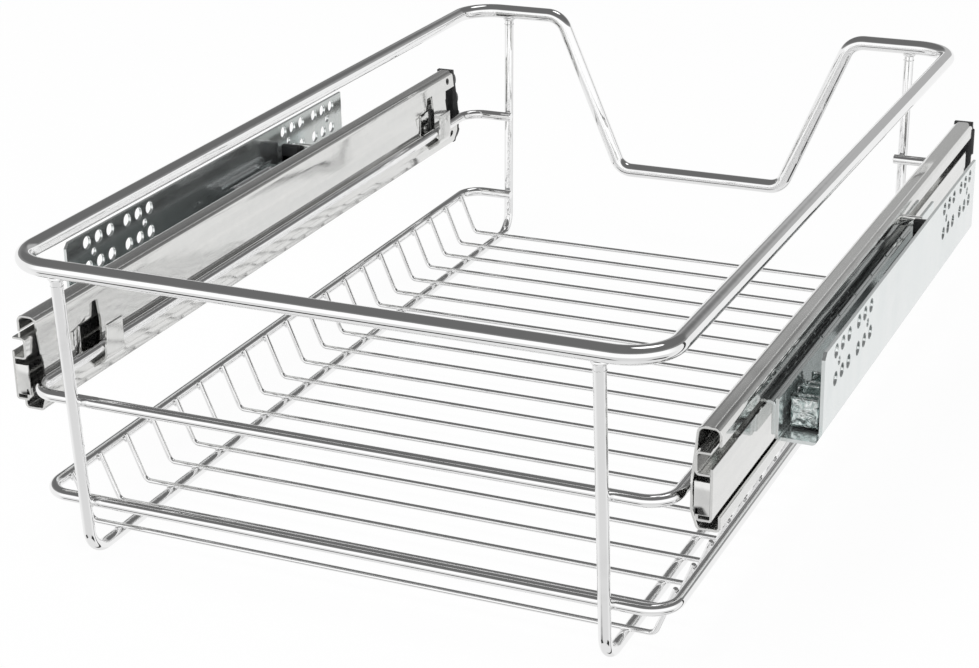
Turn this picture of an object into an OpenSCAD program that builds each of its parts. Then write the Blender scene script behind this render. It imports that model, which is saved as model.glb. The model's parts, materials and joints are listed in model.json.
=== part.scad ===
// Pull-out wire basket for a kitchen base cabinet, hung between two soft-close slides.
// The basket is welded from chromed round wire. Each slide has a drawer member that hooks
// under the basket's middle rail, an intermediate member, and a rail on a folded bracket
// that is screwed to the cabinet's side.
// Frame: X across the cabinet, +Y the way that the basket pulls out, Z up, Z = 0 under the legs.

/* [Basket size] */
// Distance by which the rim's sides stand out past the slides' inner faces
rim_overhang = 0.5; // [0:0.1:2.5]
// Length of the rim, over the wire
rim_l = 482; // [470:1:500]
// Height of the basket, over the rim wire
basket_h = 143.2; // [135:0.2:160]
// Radius of the rim's corners, at the wire's centre line
rim_corner_r = 20; // [14:1:30]
// Height of the middle rail's centre line
middle_rail_z = 76; // [74:0.5:80]
// Height of the lower rail's centre line
lower_rail_z = 27; // [22:0.5:34]
// Radius of the rails' corners, at the wire's centre line
rail_corner_r = 12; // [8:1:16]

/* [Wires] */
// Diameter of the rim wire
rim_wire_d = 8; // [6:0.2:9]
// Diameter of the leg and rail wires
frame_wire_d = 5.4; // [4.6:0.2:6]
// Diameter of the floor wires
floor_wire_d = 2.4; // [2:0.2:3.4]
// Depth to which crossing wires sink into each other at a weld
weld_bite = 0.1; // [0.05:0.01:0.15]

/* [Front dip] */
// Width of the dip between the tops of its slopes
dip_top_w = 177; // [150:1:200]
// Width of the dip between the bottoms of its slopes
dip_bottom_w = 100; // [70:1:130]
// Depth of the dip below the rim
dip_depth = 90.8; // [60:0.2:100]
// Radius of the bends at the top of the dip
dip_top_r = 12; // [8:1:16]
// Radius of the bends at the bottom of the dip
dip_bottom_r = 10; // [8:1:16]

/* [Legs] */
// Distance of each leg wire from the outer edge of the rim's side
leg_inset = 29; // [23:1:41]
// Distance that each leg leans in from the rim down to its base
leg_lean = 6.5; // [2:0.5:12]
// Radius of the bends at the base of the legs
leg_bend_r = 12; // [8:1:16]

/* [Floor] */
// Number of floor wires
floor_count = 20; // [20:1:20]
// Distance of the first and last floor wires from the rim's outer ends
floor_end_gap = 32; // [30:0.5:50]
// Angle of the turned-up ends, from upright
floor_end_angle = 22; // [10:1:30]
// Radius of the bends of the floor wires
floor_bend_r = 4; // [3:0.5:6]
// Height by which the turned-up ends pass the lower rail's centre line
floor_tip_rise = 2; // [1:0.5:4]

/* [Slide members] */
// Height of the slide
slide_h = 45; // [45:0.5:47]
// Height of the slide's middle above the legs' base
slide_mid_z = 81.7; // [81:0.1:83]
// Depth of the drawer member, from its web to its lips
drawer_depth = 12.7; // [12.7:0.1:13.5]
// Thickness of the slide's sheet
slide_t = 1.2; // [1:0.1:1.3]
// Length of the drawer member and of the intermediate member
slide_l = 433; // [420:1:436]
// Distance from the basket's middle to the rear end of the drawer member
drawer_rear = 213; // [212:1:215]
// Distance by which the intermediate member starts behind the drawer member
intermediate_lag = 7; // [5:0.5:9]
// Length of the drawer member's upper lip
upper_lip_h = 8; // [6:0.5:8]
// Length of the drawer member's lower lip
lower_lip_h = 3.5; // [2.5:0.5:4.5]
// Distance by which the drawer member's flanges step back from its web
shoulder_step = 2.5; // [1.5:0.1:2.6]
// Height of the sloping shoulder at the foot of the drawer member's web
shoulder_h = 8; // [6:0.5:9]
// Height of the upper part of the drawer member's web, which leans back
lean_h = 24; // [20:0.5:26]
// Distance between the webs of the drawer member and the intermediate member
web_gap = 2.7; // [2.5:0.1:2.9]
// Height from the box face's top edge down to the top of the floor of the small channel
channel_lip_h = 2.3; // [1.5:0.1:2.4]
// Thickness of the end cap's plate
end_cap_t = 4; // [3:0.5:5]

/* [Balls and cages] */
// Diameter of the balls between drawer member and intermediate member
slide_ball_d = 6; // [5.5:0.1:6]
// Number of balls in each row of the slide cages
slide_ball_count = 9; // [6:1:9]
// Distance between the balls of the slide cages
slide_ball_pitch = 16; // [12:0.5:16]
// Distance from the basket's middle to the rear end of the slide cages
slide_cage_rear = 87; // [80:1:100]
// Diameter of the balls between intermediate member and cabinet rail
rail_ball_d = 3; // [2.8:0.1:3]
// Number of balls in each row of the rail cage
rail_ball_count = 8; // [5:1:8]
// Distance between the balls of the rail cage
rail_ball_pitch = 13.5; // [8:0.5:13.5]
// Distance from the basket's middle to the rear end of the rail cage
rail_cage_rear = 123; // [118:1:126]
// Free play of each ball against a race
ball_play = 0.15; // [0.1:0.01:0.2]

/* [Cabinet bracket] */
// Inner width of the cabinet, over the outer faces of the two brackets
cabinet_w = 368; // [350:1:400]
// Thickness of the bracket's sheet and of the cabinet rail
bracket_t = 1.5; // [1.2:0.1:1.5]
// Inner width of the bracket's channel, between its upright and its plate
channel_w = 14.6; // [14.2:0.1:15.5]
// Height of the bracket's outer plate
bracket_h = 37.5; // [36:0.5:40]
// Height of the bracket's underside above the legs' base
bracket_z = 74.2; // [73.5:0.1:75]
// Distance from the basket's middle to the rear end of the outer plate
plate_rear = 145; // [143:1:150]
// Length of the outer plate
plate_l = 276.5; // [272:0.5:284]
// Distance from the basket's middle to the rear end of the bottom flange
flange_rear = 153; // [151:1:158]
// Distance from the basket's middle to the rear end of the upright and of the cabinet rail
upright_rear = 154; // [152:1:158]
// Length of the upright
upright_l = 267; // [260:1:275]
// Height of the upright above the bracket's underside
upright_h = 19; // [18:0.1:19.3]
// Length of the cabinet rail
cabinet_rail_l = 237; // [230:1:245]
// Distance between the upright and the drawer member's lips
upright_gap = 3.2; // [2.9:0.1:3.4]
// Distance by which the cabinet rail's tongue reaches in from the upright
tongue_reach = 9.4; // [8.6:0.1:9.5]

/* [Fixing holes] */
// Diameter of the large fixing holes
hole_d = 6.6; // [6:0.1:7]
// Diameter of the small fixing holes
small_hole_d = 4.2; // [3.5:0.1:4.5]
// Distance between neighbouring holes of a group of three
hole_pitch = 10; // [9:0.5:10.5]
// Distance between the first holes of the two groups of three in a cluster
hole_group_pitch = 35; // [33:0.5:36]
// Distance between the two clusters
cluster_pitch = 192; // [188:1:196]
// Distance between the upper and the lower row of holes
row_pitch = 12.4; // [11.5:0.1:13]
// Distance of the upper row below the plate's top edge
row_drop = 5; // [4.5:0.1:6]
// Distance of the first hole from the plate's rear edge
first_hole = 17; // [14:0.5:18]

/* [Soft-close unit] */
// Distance from the basket's middle to the rear end of the soft-close housing
housing_rear = 1; // [-2:1:10]
// Length of the closing spring with the basket shut
spring_l = 56.5; // [50:0.5:60]
// Diameter of the damper's cylinder
damper_d = 5; // [4.5:0.1:5.2]
// Diameter of the closing spring
spring_d = 4.4; // [4:0.1:4.6]
// Diameter of the closing spring's wire
spring_wire_d = 0.8; // [0.6:0.1:0.9]
// Number of turns of the closing spring
spring_turns = 14; // [8:1:16]
// Travel of the soft-close catch
catch_travel = 35; // [25:1:38]

/* [Hidden] */
$fn = 48;
SIDES = ["left", "right"];
FLOOR_NAMES = [for (i = [1:floor_count]) str("floor_wire_", i < 10 ? "0" : "", i)];
SLIDE_PARTS = [
    "cabinet_bracket", "cabinet_rail", "bracket_rivets", "rail_cage", "rail_balls",
    "intermediate_member", "slide_balls", "upper_cage", "lower_cage", "drawer_member",
    "end_cap", "channel_buffer", "soft_close_housing", "soft_close_damper", "damper_rod",
    "soft_close_spring", "soft_close_catch"
];

chrome = "silver";
zinc = "lightgray";
black = "dimgray";
eps = 0.01;
seam = 0.01;
collar_reach = 0.1;

// Wire centre lines
rim_r = rim_wire_d / 2;
frame_r = frame_wire_d / 2;
floor_r = floor_wire_d / 2;
slide_in_x = cabinet_w / 2 - 2 * bracket_t - channel_w - upright_gap - drawer_depth;
rim_x = slide_in_x + rim_overhang - rim_r;
rim_y = rim_l / 2 - rim_r;
rim_z = basket_h - rim_r;
leg_x = slide_in_x + rim_overhang - leg_inset;
leg_base_z = frame_r;
frame_cross = frame_wire_d - weld_bite;
leg_slope = leg_lean / (rim_z - leg_base_z);
rail_seat_gap = 0.4;
rail_x = slide_in_x - rail_seat_gap - frame_r;
rail_end_x = leg_x - frame_r - 1;
floor_z = leg_base_z + frame_r + floor_r - weld_bite;
floor_weld_gap = frame_r + floor_r - weld_bite;
floor_pitch = (rim_l - 2 * floor_end_gap) / (floor_count - 1);
floor_bend_x = rail_x - (floor_weld_gap + (lower_rail_z - floor_z) * sin(floor_end_angle))
    / cos(floor_end_angle);
floor_tip_z = lower_rail_z + floor_tip_rise;
floor_tip_x = floor_bend_x + (floor_tip_z - floor_z) * tan(floor_end_angle);

// Slide section, right-hand side, seen along Y as [x, z]
half_t = slide_t / 2;
drawer_out_x = slide_in_x + drawer_depth;
slide_low_z = slide_mid_z - slide_h / 2;
slide_top_z = slide_mid_z + slide_h / 2;
drawer_web_x = slide_in_x + half_t;
drawer_back_x = drawer_web_x + shoulder_step;
drawer_lip_x = drawer_out_x - half_t;
race_gap = slide_ball_d + 2 * ball_play;
inter_web_x = drawer_web_x + slide_t + web_gap;
inter_face_x = drawer_lip_x - slide_t;
inter_top_z = slide_top_z - slide_t - race_gap - half_t;
inter_low_z = slide_low_z + slide_t + race_gap + half_t;
channel_h = 2 * (rail_ball_d + 2 * ball_play) + bracket_t;
ledge_z = inter_top_z - half_t - channel_h - half_t;
face_top_z = ledge_z + half_t + channel_lip_h;
ledge_out_x = drawer_out_x - slide_t - 1;
tongue_z = inter_top_z - half_t - channel_h / 2;
bend_r = 1.6;
inter_rear_y = -drawer_rear - intermediate_lag;
drawer_rear_y = -drawer_rear;
drawer_front_y = drawer_rear_y + slide_l;

// Cages
slide_cage_l = (slide_ball_count - 1) * slide_ball_pitch + slide_ball_pitch * 1.25;
slide_cage_h = slide_ball_d - 1.1;
cage_clear = 0.5;
slide_ball_x = (drawer_back_x + half_t + cage_clear - 0.4 + drawer_out_x - slide_t - cage_clear) / 2;
slide_cage_w = 2 * (drawer_out_x - slide_t - cage_clear - slide_ball_x);
upper_ball_z = slide_top_z - slide_t - race_gap / 2;
lower_ball_z = slide_low_z + slide_t + race_gap / 2;
pocket_play = 0.15;
rail_cage_l = rail_ball_count * rail_ball_pitch;
rail_cage_web_t = 0.8;
rail_cage_strip_t = 1.6;
rail_gap = rail_ball_d + 2 * ball_play;

// Bracket
plate_out_x = cabinet_w / 2;
plate_mid_x = plate_out_x - bracket_t / 2;
upright_in_x = drawer_out_x + upright_gap;
upright_mid_x = upright_in_x + bracket_t / 2;
flange_mid_z = bracket_z + bracket_t / 2;
plate_top_z = bracket_z + bracket_h;
plate_front_y = -plate_rear + plate_l;
tongue_in_x = upright_in_x - tongue_reach;
rail_ball_x = tongue_in_x + 2;
rail_flange_low_z = flange_mid_z + 2;
rivet_d = 4;
rivet_head_t = 0.8;
rivet_count = 4;
plate_corner = 4;
hole_ys = [for (group = [0, 1]) for (i = [0:2]) group * hole_group_pitch + i * hole_pitch];
cluster_ys = [-plate_rear + first_hole, -plate_rear + first_hole + cluster_pitch];
upper_row_z = plate_top_z - row_drop;
lower_row_z = upper_row_z - row_pitch;
small_hole_ys = [hole_pitch / 2, hole_group_pitch + hole_pitch * 1.5];
notch_count = 6;
notch_pitch = 27.4;
notch_rear = 81;

// Hooks
hook_w = 15;
hook_r = frame_r + 0.05 + half_t;
hook_drop = 5.2;
hook_tip_z = middle_rail_z + 11;
hook_ys = [-168, 188];

// Soft-close unit
channel_in_x = upright_in_x + bracket_t;
channel_out_x = plate_out_x - bracket_t;
housing_side_gap = 0.2;
housing_x = channel_in_x + rivet_head_t + housing_side_gap;
housing_w = channel_out_x - housing_side_gap - housing_x;
housing_rear_y = -housing_rear;
housing_low_z = bracket_z + bracket_t;
housing_floor_h = 14;
housing_h = 20.3;
housing_wall = 1.2;
guide_h = 1.5;
catch_l = 14;
slot_clear = 0.3;
catch_rear_y = housing_rear_y + housing_wall + spring_l + slot_clear;
housing_front_y = catch_rear_y + catch_l + catch_travel + slot_clear + housing_wall;
spring_x = housing_x + housing_wall + slot_clear + spring_d / 2;
damper_x = housing_x + housing_w - housing_wall - slot_clear - damper_d / 2;
drive_z = housing_low_z + housing_floor_h + damper_d / 2 + slot_clear;
tab_t = 3;
tab_low_z = housing_low_z + housing_h + 0.8;
tab_high_z = slide_top_z - 2.4;
buffer_l = 36;
channel_corner = bend_r / 2;
rod_d = 1.7;
rod_clear = 0.15;
rod_inset = 3;
damper_l = rod_inset + catch_travel + 2;
damper_end_t = 1.5;

// --- helpers -------------------------------------------------------------

function unit(v) = v / norm(v);
function turn(a, p, b) = acos(max(-1, min(1, unit(p - a) * unit(b - p))));
function tangent(a, p, b, r) = r * tan(turn(a, p, b) / 2);
function is_square(v) = max([for (c = v) abs(c)]) > 0.999999 * norm(v);

// A path with a slanted leg meets its bends only to within rounding, so its joints get a small
// gap that a slightly larger piece closes.
function joint_gap(pts) =
    min([for (i = [1:len(pts) - 1]) is_square(pts[i] - pts[i - 1]) ? 1 : 0]) == 1 ? 0 : seam;

// A straight round bar from a to b.
module bar(a, b, d) {
    v = b - a;
    translate(a)
        rotate([0, acos(v[2] / norm(v)), atan2(v[1], v[0])])
            cylinder(d = d, h = norm(v));
}

// The bend at p of a round bar that comes from a and goes on to b.
module bend(a, p, b, r, d) {
    u = unit(p - a);
    w = unit(b - p);
    inward = unit(w - (u * w) * u);
    axis = cross(u, inward);
    c = p - u * tangent(a, p, b, r) + inward * r;
    multmatrix([
        [-inward[0], u[0], axis[0], c[0]],
        [-inward[1], u[1], axis[1], c[1]],
        [-inward[2], u[2], axis[2], c[2]],
        [0, 0, 0, 1]
    ])
        rotate_extrude(angle = turn(a, p, b))
            translate([r, 0])
                circle(d = d);
}

// A straight stretch of wire between two bends. With a gap, it stops short of each bend and a
// thin collar closes the joint.
module stretch(a, b, cut_a, cut_b, d, gap) {
    u = unit(b - a);
    start = a + u * cut_a;
    end = b - u * cut_b;
    bar(start + u * (cut_a > 0 ? gap : 0), end - u * (cut_b > 0 ? gap : 0), d);
    if (gap > 0 && cut_a > 0)
        bar(start - u * collar_reach, start + u * collar_reach, d + 2 * gap);
    if (gap > 0 && cut_b > 0)
        bar(end - u * collar_reach, end + u * collar_reach, d + 2 * gap);
}

// A round wire with cut ends along pts, bent with radius rs[i] at pts[i].
module open_wire(pts, rs, d) {
    last = len(pts) - 1;
    gap = joint_gap(pts);
    for (i = [0:last - 1]) {
        a = pts[i];
        b = pts[i + 1];
        stretch(a, b,
            i == 0 ? 0 : tangent(pts[i - 1], a, b, rs[i]),
            i + 1 == last ? 0 : tangent(a, b, pts[i + 2], rs[i + 1]), d, gap);
    }
    for (i = [1:last - 1])
        bend(pts[i - 1], pts[i], pts[i + 1], rs[i], d);
}

// A closed loop of round wire.
module closed_wire(pts, rs, d) {
    n = len(pts);
    gap = joint_gap(pts);
    for (i = [0:n - 1]) {
        before = pts[(i + n - 1) % n];
        a = pts[i];
        b = pts[(i + 1) % n];
        after = pts[(i + 2) % n];
        stretch(a, b, tangent(before, a, b, rs[i]), tangent(a, b, after, rs[(i + 1) % n]), d, gap);
        bend(before, a, b, rs[i], d);
    }
}

// Section of a folded sheet of thickness t along pts, with centre-line radius r at each fold.
module sheet_section(pts, t, r) {
    last = len(pts) - 1;
    gap = joint_gap(pts);
    for (i = [0:last - 1]) {
        a = pts[i];
        b = pts[i + 1];
        u = unit(b - a);
        cut_a = i == 0 ? 0 : tangent(pts[i - 1], a, b, r) + gap;
        cut_b = i + 1 == last ? 0 : tangent(a, b, pts[i + 2], r) + gap;
        sheet_strip(a + u * cut_a, norm(b - a) - cut_a - cut_b, u, t);
        if (gap > 0 && i > 0)
            sheet_strip(a + u * (cut_a - t / 4), t / 2, u, t + 2 * gap);
        if (gap > 0 && i + 1 < last)
            sheet_strip(b - u * (cut_b + t / 4), t / 2, u, t + 2 * gap);
    }
    for (i = [1:last - 1])
        sheet_fold(pts[i - 1], pts[i], pts[i + 1], t, r);
}

// A straight strip of a sheet section from a along u.
module sheet_strip(a, l, u, t) {
    translate(a)
        rotate(atan2(u[1], u[0]))
            translate([0, -t / 2])
                square([l, t]);
}

// One fold of a sheet section: a piece of a ring between its two end planes.
module sheet_fold(a, p, b, t, r) {
    u = unit(p - a);
    w = unit(b - p);
    inward = unit(w - (u * w) * u);
    start = p - u * tangent(a, p, b, r);
    end = p + w * tangent(a, p, b, r);
    c = start + inward * r;
    far = 3 * (r + t);
    intersection() {
        translate(c)
            difference() {
                circle(r = r + t / 2);
                circle(r = r - t / 2);
            }
        polygon([c, c + (start - c) * far, c + (p - c) * far, c + (end - c) * far]);
    }
}

// Stands a section drawn as [x, z] up and runs it along Y from y0 over length l.
module along_y(y0, l) {
    translate([0, y0 + l, 0])
        rotate([90, 0, 0])
            linear_extrude(l)
                children();
}

// A box from its low corner to its high corner.
module block(low, high) {
    translate(low)
        cube(high - low);
}

module mirrored(side) {
    if (side == "left")
        mirror([1, 0, 0]) children();
    else
        children();
}

// --- basket --------------------------------------------------------------

module rim_wire() {
    top = dip_top_w / 2;
    bottom = dip_bottom_w / 2;
    pts = [
        [-rim_x, -rim_y, rim_z], [rim_x, -rim_y, rim_z], [rim_x, rim_y, rim_z],
        [top, rim_y, rim_z], [bottom, rim_y, rim_z - dip_depth],
        [-bottom, rim_y, rim_z - dip_depth], [-top, rim_y, rim_z], [-rim_x, rim_y, rim_z]
    ];
    c = rim_corner_r;
    color(chrome)
        closed_wire(pts, [c, c, c, dip_top_r, dip_bottom_r, dip_bottom_r, dip_top_r, c], rim_wire_d);
}

module leg_wire(x) {
    pts = [
        [x, -rim_y, rim_z],
        [x, -rim_y + leg_lean, leg_base_z],
        [x, rim_y - leg_lean, leg_base_z],
        [x, rim_y, rim_z]
    ];
    color(chrome)
        difference() {
            open_wire(pts, [0, leg_bend_r, leg_bend_r, 0], frame_wire_d);
            // Saddles that seat the leg's ends under the rim
            for (y = [-rim_y, rim_y])
                translate([x - frame_wire_d, y, rim_z])
                    rotate([0, 90, 0])
                        cylinder(d = rim_wire_d - weld_bite, h = 2 * frame_wire_d);
        }
}

// A U-shaped rail that lies inside the legs, open at the front.
module side_rail(z) {
    lean = (rim_z - z) * leg_slope;
    y = rim_y - lean - frame_cross / cos(atan(leg_slope));
    pts = [[-rail_end_x, y, z], [-rail_x, y, z], [-rail_x, -y, z],
        [rail_x, -y, z], [rail_x, y, z], [rail_end_x, y, z]];
    c = rail_corner_r;
    color(chrome)
        open_wire(pts, [0, c, c, c, c, 0], frame_wire_d);
}

module floor_wire(i) {
    y = (i - (floor_count + 1) / 2) * floor_pitch;
    pts = [
        [-floor_tip_x, y, floor_tip_z], [-floor_bend_x, y, floor_z],
        [floor_bend_x, y, floor_z], [floor_tip_x, y, floor_tip_z]
    ];
    color(chrome)
        open_wire(pts, [0, floor_bend_r, floor_bend_r, 0], floor_wire_d);
}

// --- slide: right-hand side, mirrored for the left ------------------------

module drawer_section() {
    sheet_section([
        [drawer_lip_x, slide_low_z + lower_lip_h],
        [drawer_lip_x, slide_low_z + half_t],
        [drawer_back_x, slide_low_z + half_t],
        [drawer_web_x, slide_low_z + shoulder_h],
        [drawer_web_x, slide_top_z - lean_h],
        [drawer_back_x, slide_top_z - half_t],
        [drawer_lip_x, slide_top_z - half_t],
        [drawer_lip_x, slide_top_z - upper_lip_h]
    ], slide_t, bend_r);
}

// A tongue lanced from the web, which slopes out under the middle rail and stands up beside it.
module rail_hook(y) {
    along_y(y - hook_w / 2, hook_w)
        sheet_section([
            [drawer_web_x + 0.4, slide_low_z + shoulder_h - 1.2],
            [rail_x - hook_r, middle_rail_z - hook_drop],
            [rail_x - hook_r, hook_tip_z]
        ], slide_t, hook_r);
}

// The window a hook's tongue leaves in the web, as [y, z] from the middle rail at the hook.
module hook_window(y, depth) {
    low = half_t - hook_r;
    translate([slide_in_x - 1, y, middle_rail_z])
        rotate([90, 0, 90])
            linear_extrude(depth)
                polygon([
                    [-22, low], [hook_w / 2 + 1, low], [hook_w / 2 + 1, 10], [-0.5, 10],
                    [-0.5, 20.5], [-6, 20.5], [-9.5, 16], [-22, 14.5]
                ]);
}

module drawer_member() {
    hole_x = slide_in_x - 1;
    hole_depth = shoulder_step + slide_t + 2;
    color(zinc) {
        difference() {
            along_y(drawer_rear_y, slide_l)
                drawer_section();
            for (y = hook_ys)
                hook_window(y, hole_depth);
            // Notch in the front end, behind the end of the middle rail
            block([hole_x, drawer_front_y - 14, slide_mid_z - 8.5],
                [hole_x + hole_depth, drawer_front_y + 1, slide_mid_z + 13]);
            for (z = [slide_mid_z - 14.6, slide_mid_z + 17.9])
                translate([hole_x, drawer_front_y - 8, z])
                    rotate([0, 90, 0])
                        cylinder(d = 4, h = hole_depth);
        }
        for (y = hook_ys)
            rail_hook(y);
        // Tab that drives the soft-close catch
        block([drawer_out_x - eps, catch_rear_y + 4, tab_low_z],
            [spring_x + 1, catch_rear_y + 4 + tab_t, tab_high_z]);
    }
}

module end_cap() {
    color(black) {
        block([slide_in_x, drawer_front_y, slide_low_z],
            [drawer_out_x, drawer_front_y + end_cap_t, slide_top_z]);
        // Bumpers
        for (z = [slide_mid_z - slide_h / 4, slide_mid_z + slide_h / 4])
            translate([drawer_out_x - 1, drawer_front_y + end_cap_t / 2, z])
                cylinder(d = end_cap_t, h = slide_h / 3, center = true);
        // Plug inside the drawer member
        block([drawer_back_x + slide_t + 0.3, drawer_front_y - 4, slide_low_z + slide_t + 0.1],
            [drawer_lip_x - slide_t, drawer_front_y, slide_low_z + slide_t + 5]);
        block([drawer_back_x + slide_t + 0.3, drawer_front_y - 4, slide_top_z - slide_t - 5],
            [drawer_lip_x - slide_t, drawer_front_y, slide_top_z - slide_t - 0.1]);
    }
}

module intermediate_member() {
    color(zinc) {
        along_y(inter_rear_y, slide_l) {
            sheet_section([
                [ledge_out_x, inter_top_z],
                [inter_web_x, inter_top_z],
                [inter_web_x, ledge_z],
                [inter_face_x, ledge_z]
            ], slide_t, bend_r);
            sheet_section([
                [inter_face_x, face_top_z],
                [inter_face_x, inter_low_z],
                [inter_web_x + half_t, inter_low_z],
                [inter_web_x + half_t, inter_low_z + 5]
            ], slide_t, bend_r);
        }
        // Flap that closes the rear end of the box
        block([inter_web_x - half_t, inter_rear_y, inter_low_z + 2],
            [inter_face_x, inter_rear_y + slide_t, ledge_z - 3]);
    }
}

module slide_cage(z) {
    color(black)
        difference() {
            translate([slide_ball_x - slide_cage_w / 2, -slide_cage_rear, z - slide_cage_h / 2])
                cube([slide_cage_w, slide_cage_l, slide_cage_h]);
            for (y = slide_ball_ys())
                translate([slide_ball_x, y, z - slide_cage_h])
                    cylinder(d = slide_ball_d + 2 * pocket_play, h = 2 * slide_cage_h);
        }
}

function slide_ball_ys() = [
    for (i = [0:slide_ball_count - 1])
        -slide_cage_rear + slide_ball_pitch * (0.625 + i)
];

module slide_balls() {
    color(chrome)
        for (z = [upper_ball_z, lower_ball_z])
            for (y = slide_ball_ys())
                translate([slide_ball_x, y, z])
                    sphere(d = slide_ball_d);
}

function rail_ball_ys() = [
    for (i = [0:rail_ball_count - 1])
        -rail_cage_rear + rail_ball_pitch * (0.5 + i)
];

module rail_cage() {
    web_x = inter_web_x + half_t + ball_play * 2;
    upper_z = tongue_z + bracket_t / 2 + rail_gap / 2;
    lower_z = tongue_z - bracket_t / 2 - rail_gap / 2;
    out_x = inter_face_x - half_t - ball_play * 2;
    half_strip = rail_cage_strip_t / 2;
    color(black)
        difference() {
            along_y(-rail_cage_rear, rail_cage_l) {
                translate([web_x, lower_z - half_strip])
                    square([rail_cage_web_t, upper_z - lower_z + rail_cage_strip_t]);
                for (z = [lower_z, upper_z])
                    translate([web_x, z - half_strip])
                        square([out_x - web_x, rail_cage_strip_t]);
            }
            for (y = rail_ball_ys())
                translate([rail_ball_x, y, lower_z - rail_gap])
                    cylinder(d = rail_ball_d + 2 * pocket_play, h = channel_h + rail_gap);
        }
}

module rail_balls() {
    shift = bracket_t / 2 + rail_gap / 2;
    color(chrome)
        for (z = [tongue_z - shift, tongue_z + shift])
            for (y = rail_ball_ys())
                translate([rail_ball_x, y, z])
                    sphere(d = rail_ball_d);
}

// --- bracket --------------------------------------------------------------

module cabinet_rail() {
    x = upright_in_x - bracket_t / 2;
    color(zinc)
        difference() {
            along_y(-upright_rear, cabinet_rail_l)
                sheet_section([
                    [x, rail_flange_low_z],
                    [x, tongue_z],
                    [tongue_in_x, tongue_z]
                ], bracket_t, bend_r);
            for (i = [0:notch_count - 1])
                translate([x - bracket_t, -notch_rear + i * notch_pitch, tongue_z - bracket_t])
                    cylinder(d = bracket_t * 1.6, h = 2 * bracket_t);
            rivet_places()
                translate([0, 0, -2 * bracket_t])
                    cylinder(d = rivet_d, h = 3 * bracket_t);
        }
}

module rivet_places() {
    gap = cabinet_rail_l / rivet_count;
    for (i = [0:rivet_count - 1])
        translate([upright_in_x, -upright_rear + gap * (0.5 + i), bracket_z + upright_h / 2])
            rotate([0, 90, 0])
                children();
}

module bracket_rivets() {
    color(zinc)
        rivet_places() {
            translate([0, 0, -bracket_t - rivet_head_t])
                cylinder(d = 1.6 * rivet_d, h = rivet_head_t);
            translate([0, 0, -bracket_t - eps])
                cylinder(d = rivet_d, h = 2 * bracket_t + 2 * eps);
            translate([0, 0, bracket_t])
                cylinder(d = 1.6 * rivet_d, h = rivet_head_t);
        }
}

module fixing_holes() {
    for (start = cluster_ys) {
        for (y = hole_ys)
            for (z = [upper_row_z, lower_row_z])
                translate([channel_out_x - 1, start + y, z])
                    rotate([0, 90, 0])
                        cylinder(d = hole_d, h = bracket_t + 2);
        for (y = small_hole_ys)
            translate([channel_out_x - 1, start + y, (upper_row_z + lower_row_z) / 2])
                rotate([0, 90, 0])
                    cylinder(d = small_hole_d, h = bracket_t + 2);
    }
}

module cabinet_bracket() {
    front = plate_front_y;
    cut_x = channel_in_x + 3;
    color(zinc)
        difference() {
            along_y(-upright_rear, front + upright_rear)
                sheet_section([
                    [upright_mid_x, bracket_z + upright_h],
                    [upright_mid_x, flange_mid_z],
                    [plate_mid_x, flange_mid_z],
                    [plate_mid_x, plate_top_z]
                ], bracket_t, bend_r);
            // The plate starts in front of the flange, and the flange in front of the upright
            block([channel_out_x - 2, -upright_rear - 1, bracket_z + bracket_t],
                [plate_out_x + 1, -plate_rear, plate_top_z + 1]);
            block([upright_mid_x + bracket_t, -upright_rear - 1, bracket_z - 1],
                [plate_out_x + 1, -flange_rear, bracket_z + 3]);
            // Chamfered upper corner at the plate's rear end
            translate([plate_mid_x, -plate_rear, plate_top_z])
                rotate([45, 0, 0])
                    cube([4 * bracket_t, plate_corner, plate_corner], center = true);
            // The upright ends before the plate's front end
            block([upright_in_x - 1, -upright_rear + upright_l, bracket_z + 3],
                [cut_x, front + 1, plate_top_z]);
            rivet_places()
                translate([0, 0, -bracket_t])
                    cylinder(d = rivet_d, h = 3 * bracket_t);
            fixing_holes();
        }
}

// --- soft-close unit --------------------------------------------------------

// A block that stands in the bracket's channel, cut off where the bracket is folded.
module channel_block(y0, l, h) {
    x1 = housing_x + housing_w;
    along_y(y0, l)
        polygon([
            [housing_x, housing_low_z], [x1 - channel_corner, housing_low_z],
            [x1, housing_low_z + channel_corner], [x1, housing_low_z + h],
            [housing_x, housing_low_z + h]
        ]);
}

// Ribbed block that closes the rear end of the bracket's channel.
module channel_buffer() {
    y0 = -plate_rear + 1;
    ribs = 5;
    color(zinc) {
        channel_block(y0, buffer_l, 9);
        for (i = [0:ribs - 1])
            channel_block(y0 + i * buffer_l / ribs, 2, 15);
    }
}

// Trough that carries the damper, the spring and the catch.
module soft_close_housing() {
    x0 = housing_x;
    x1 = housing_x + housing_w;
    color(zinc)
        difference() {
            channel_block(housing_rear_y, housing_front_y - housing_rear_y, housing_h);
            block([x0 + housing_wall, housing_rear_y + housing_wall, housing_low_z + housing_floor_h],
                [x1 - housing_wall, housing_front_y - housing_wall, housing_low_z + housing_h + 1]);
            // Only the rear wall is tall; the others are low guides for the catch
            block([x0 - 1, housing_rear_y + housing_wall, housing_low_z + housing_floor_h + guide_h],
                [x1 + 1, housing_front_y + 1, housing_low_z + housing_h + 1]);
        }
}

module soft_close_damper() {
    color(zinc)
        translate([damper_x, housing_rear_y + housing_wall, drive_z])
            rotate([-90, 0, 0])
                difference() {
                    cylinder(d = damper_d, h = damper_l);
                    translate([0, 0, damper_end_t])
                        cylinder(d = rod_d + 2 * rod_clear, h = damper_l);
                }
}

// Rod between the damper's bore and the catch.
module damper_rod() {
    start_y = housing_rear_y + housing_wall + rod_inset;
    color(chrome)
        translate([damper_x, start_y, drive_z])
            rotate([-90, 0, 0])
                cylinder(d = rod_d, h = catch_rear_y - start_y);
}

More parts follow.
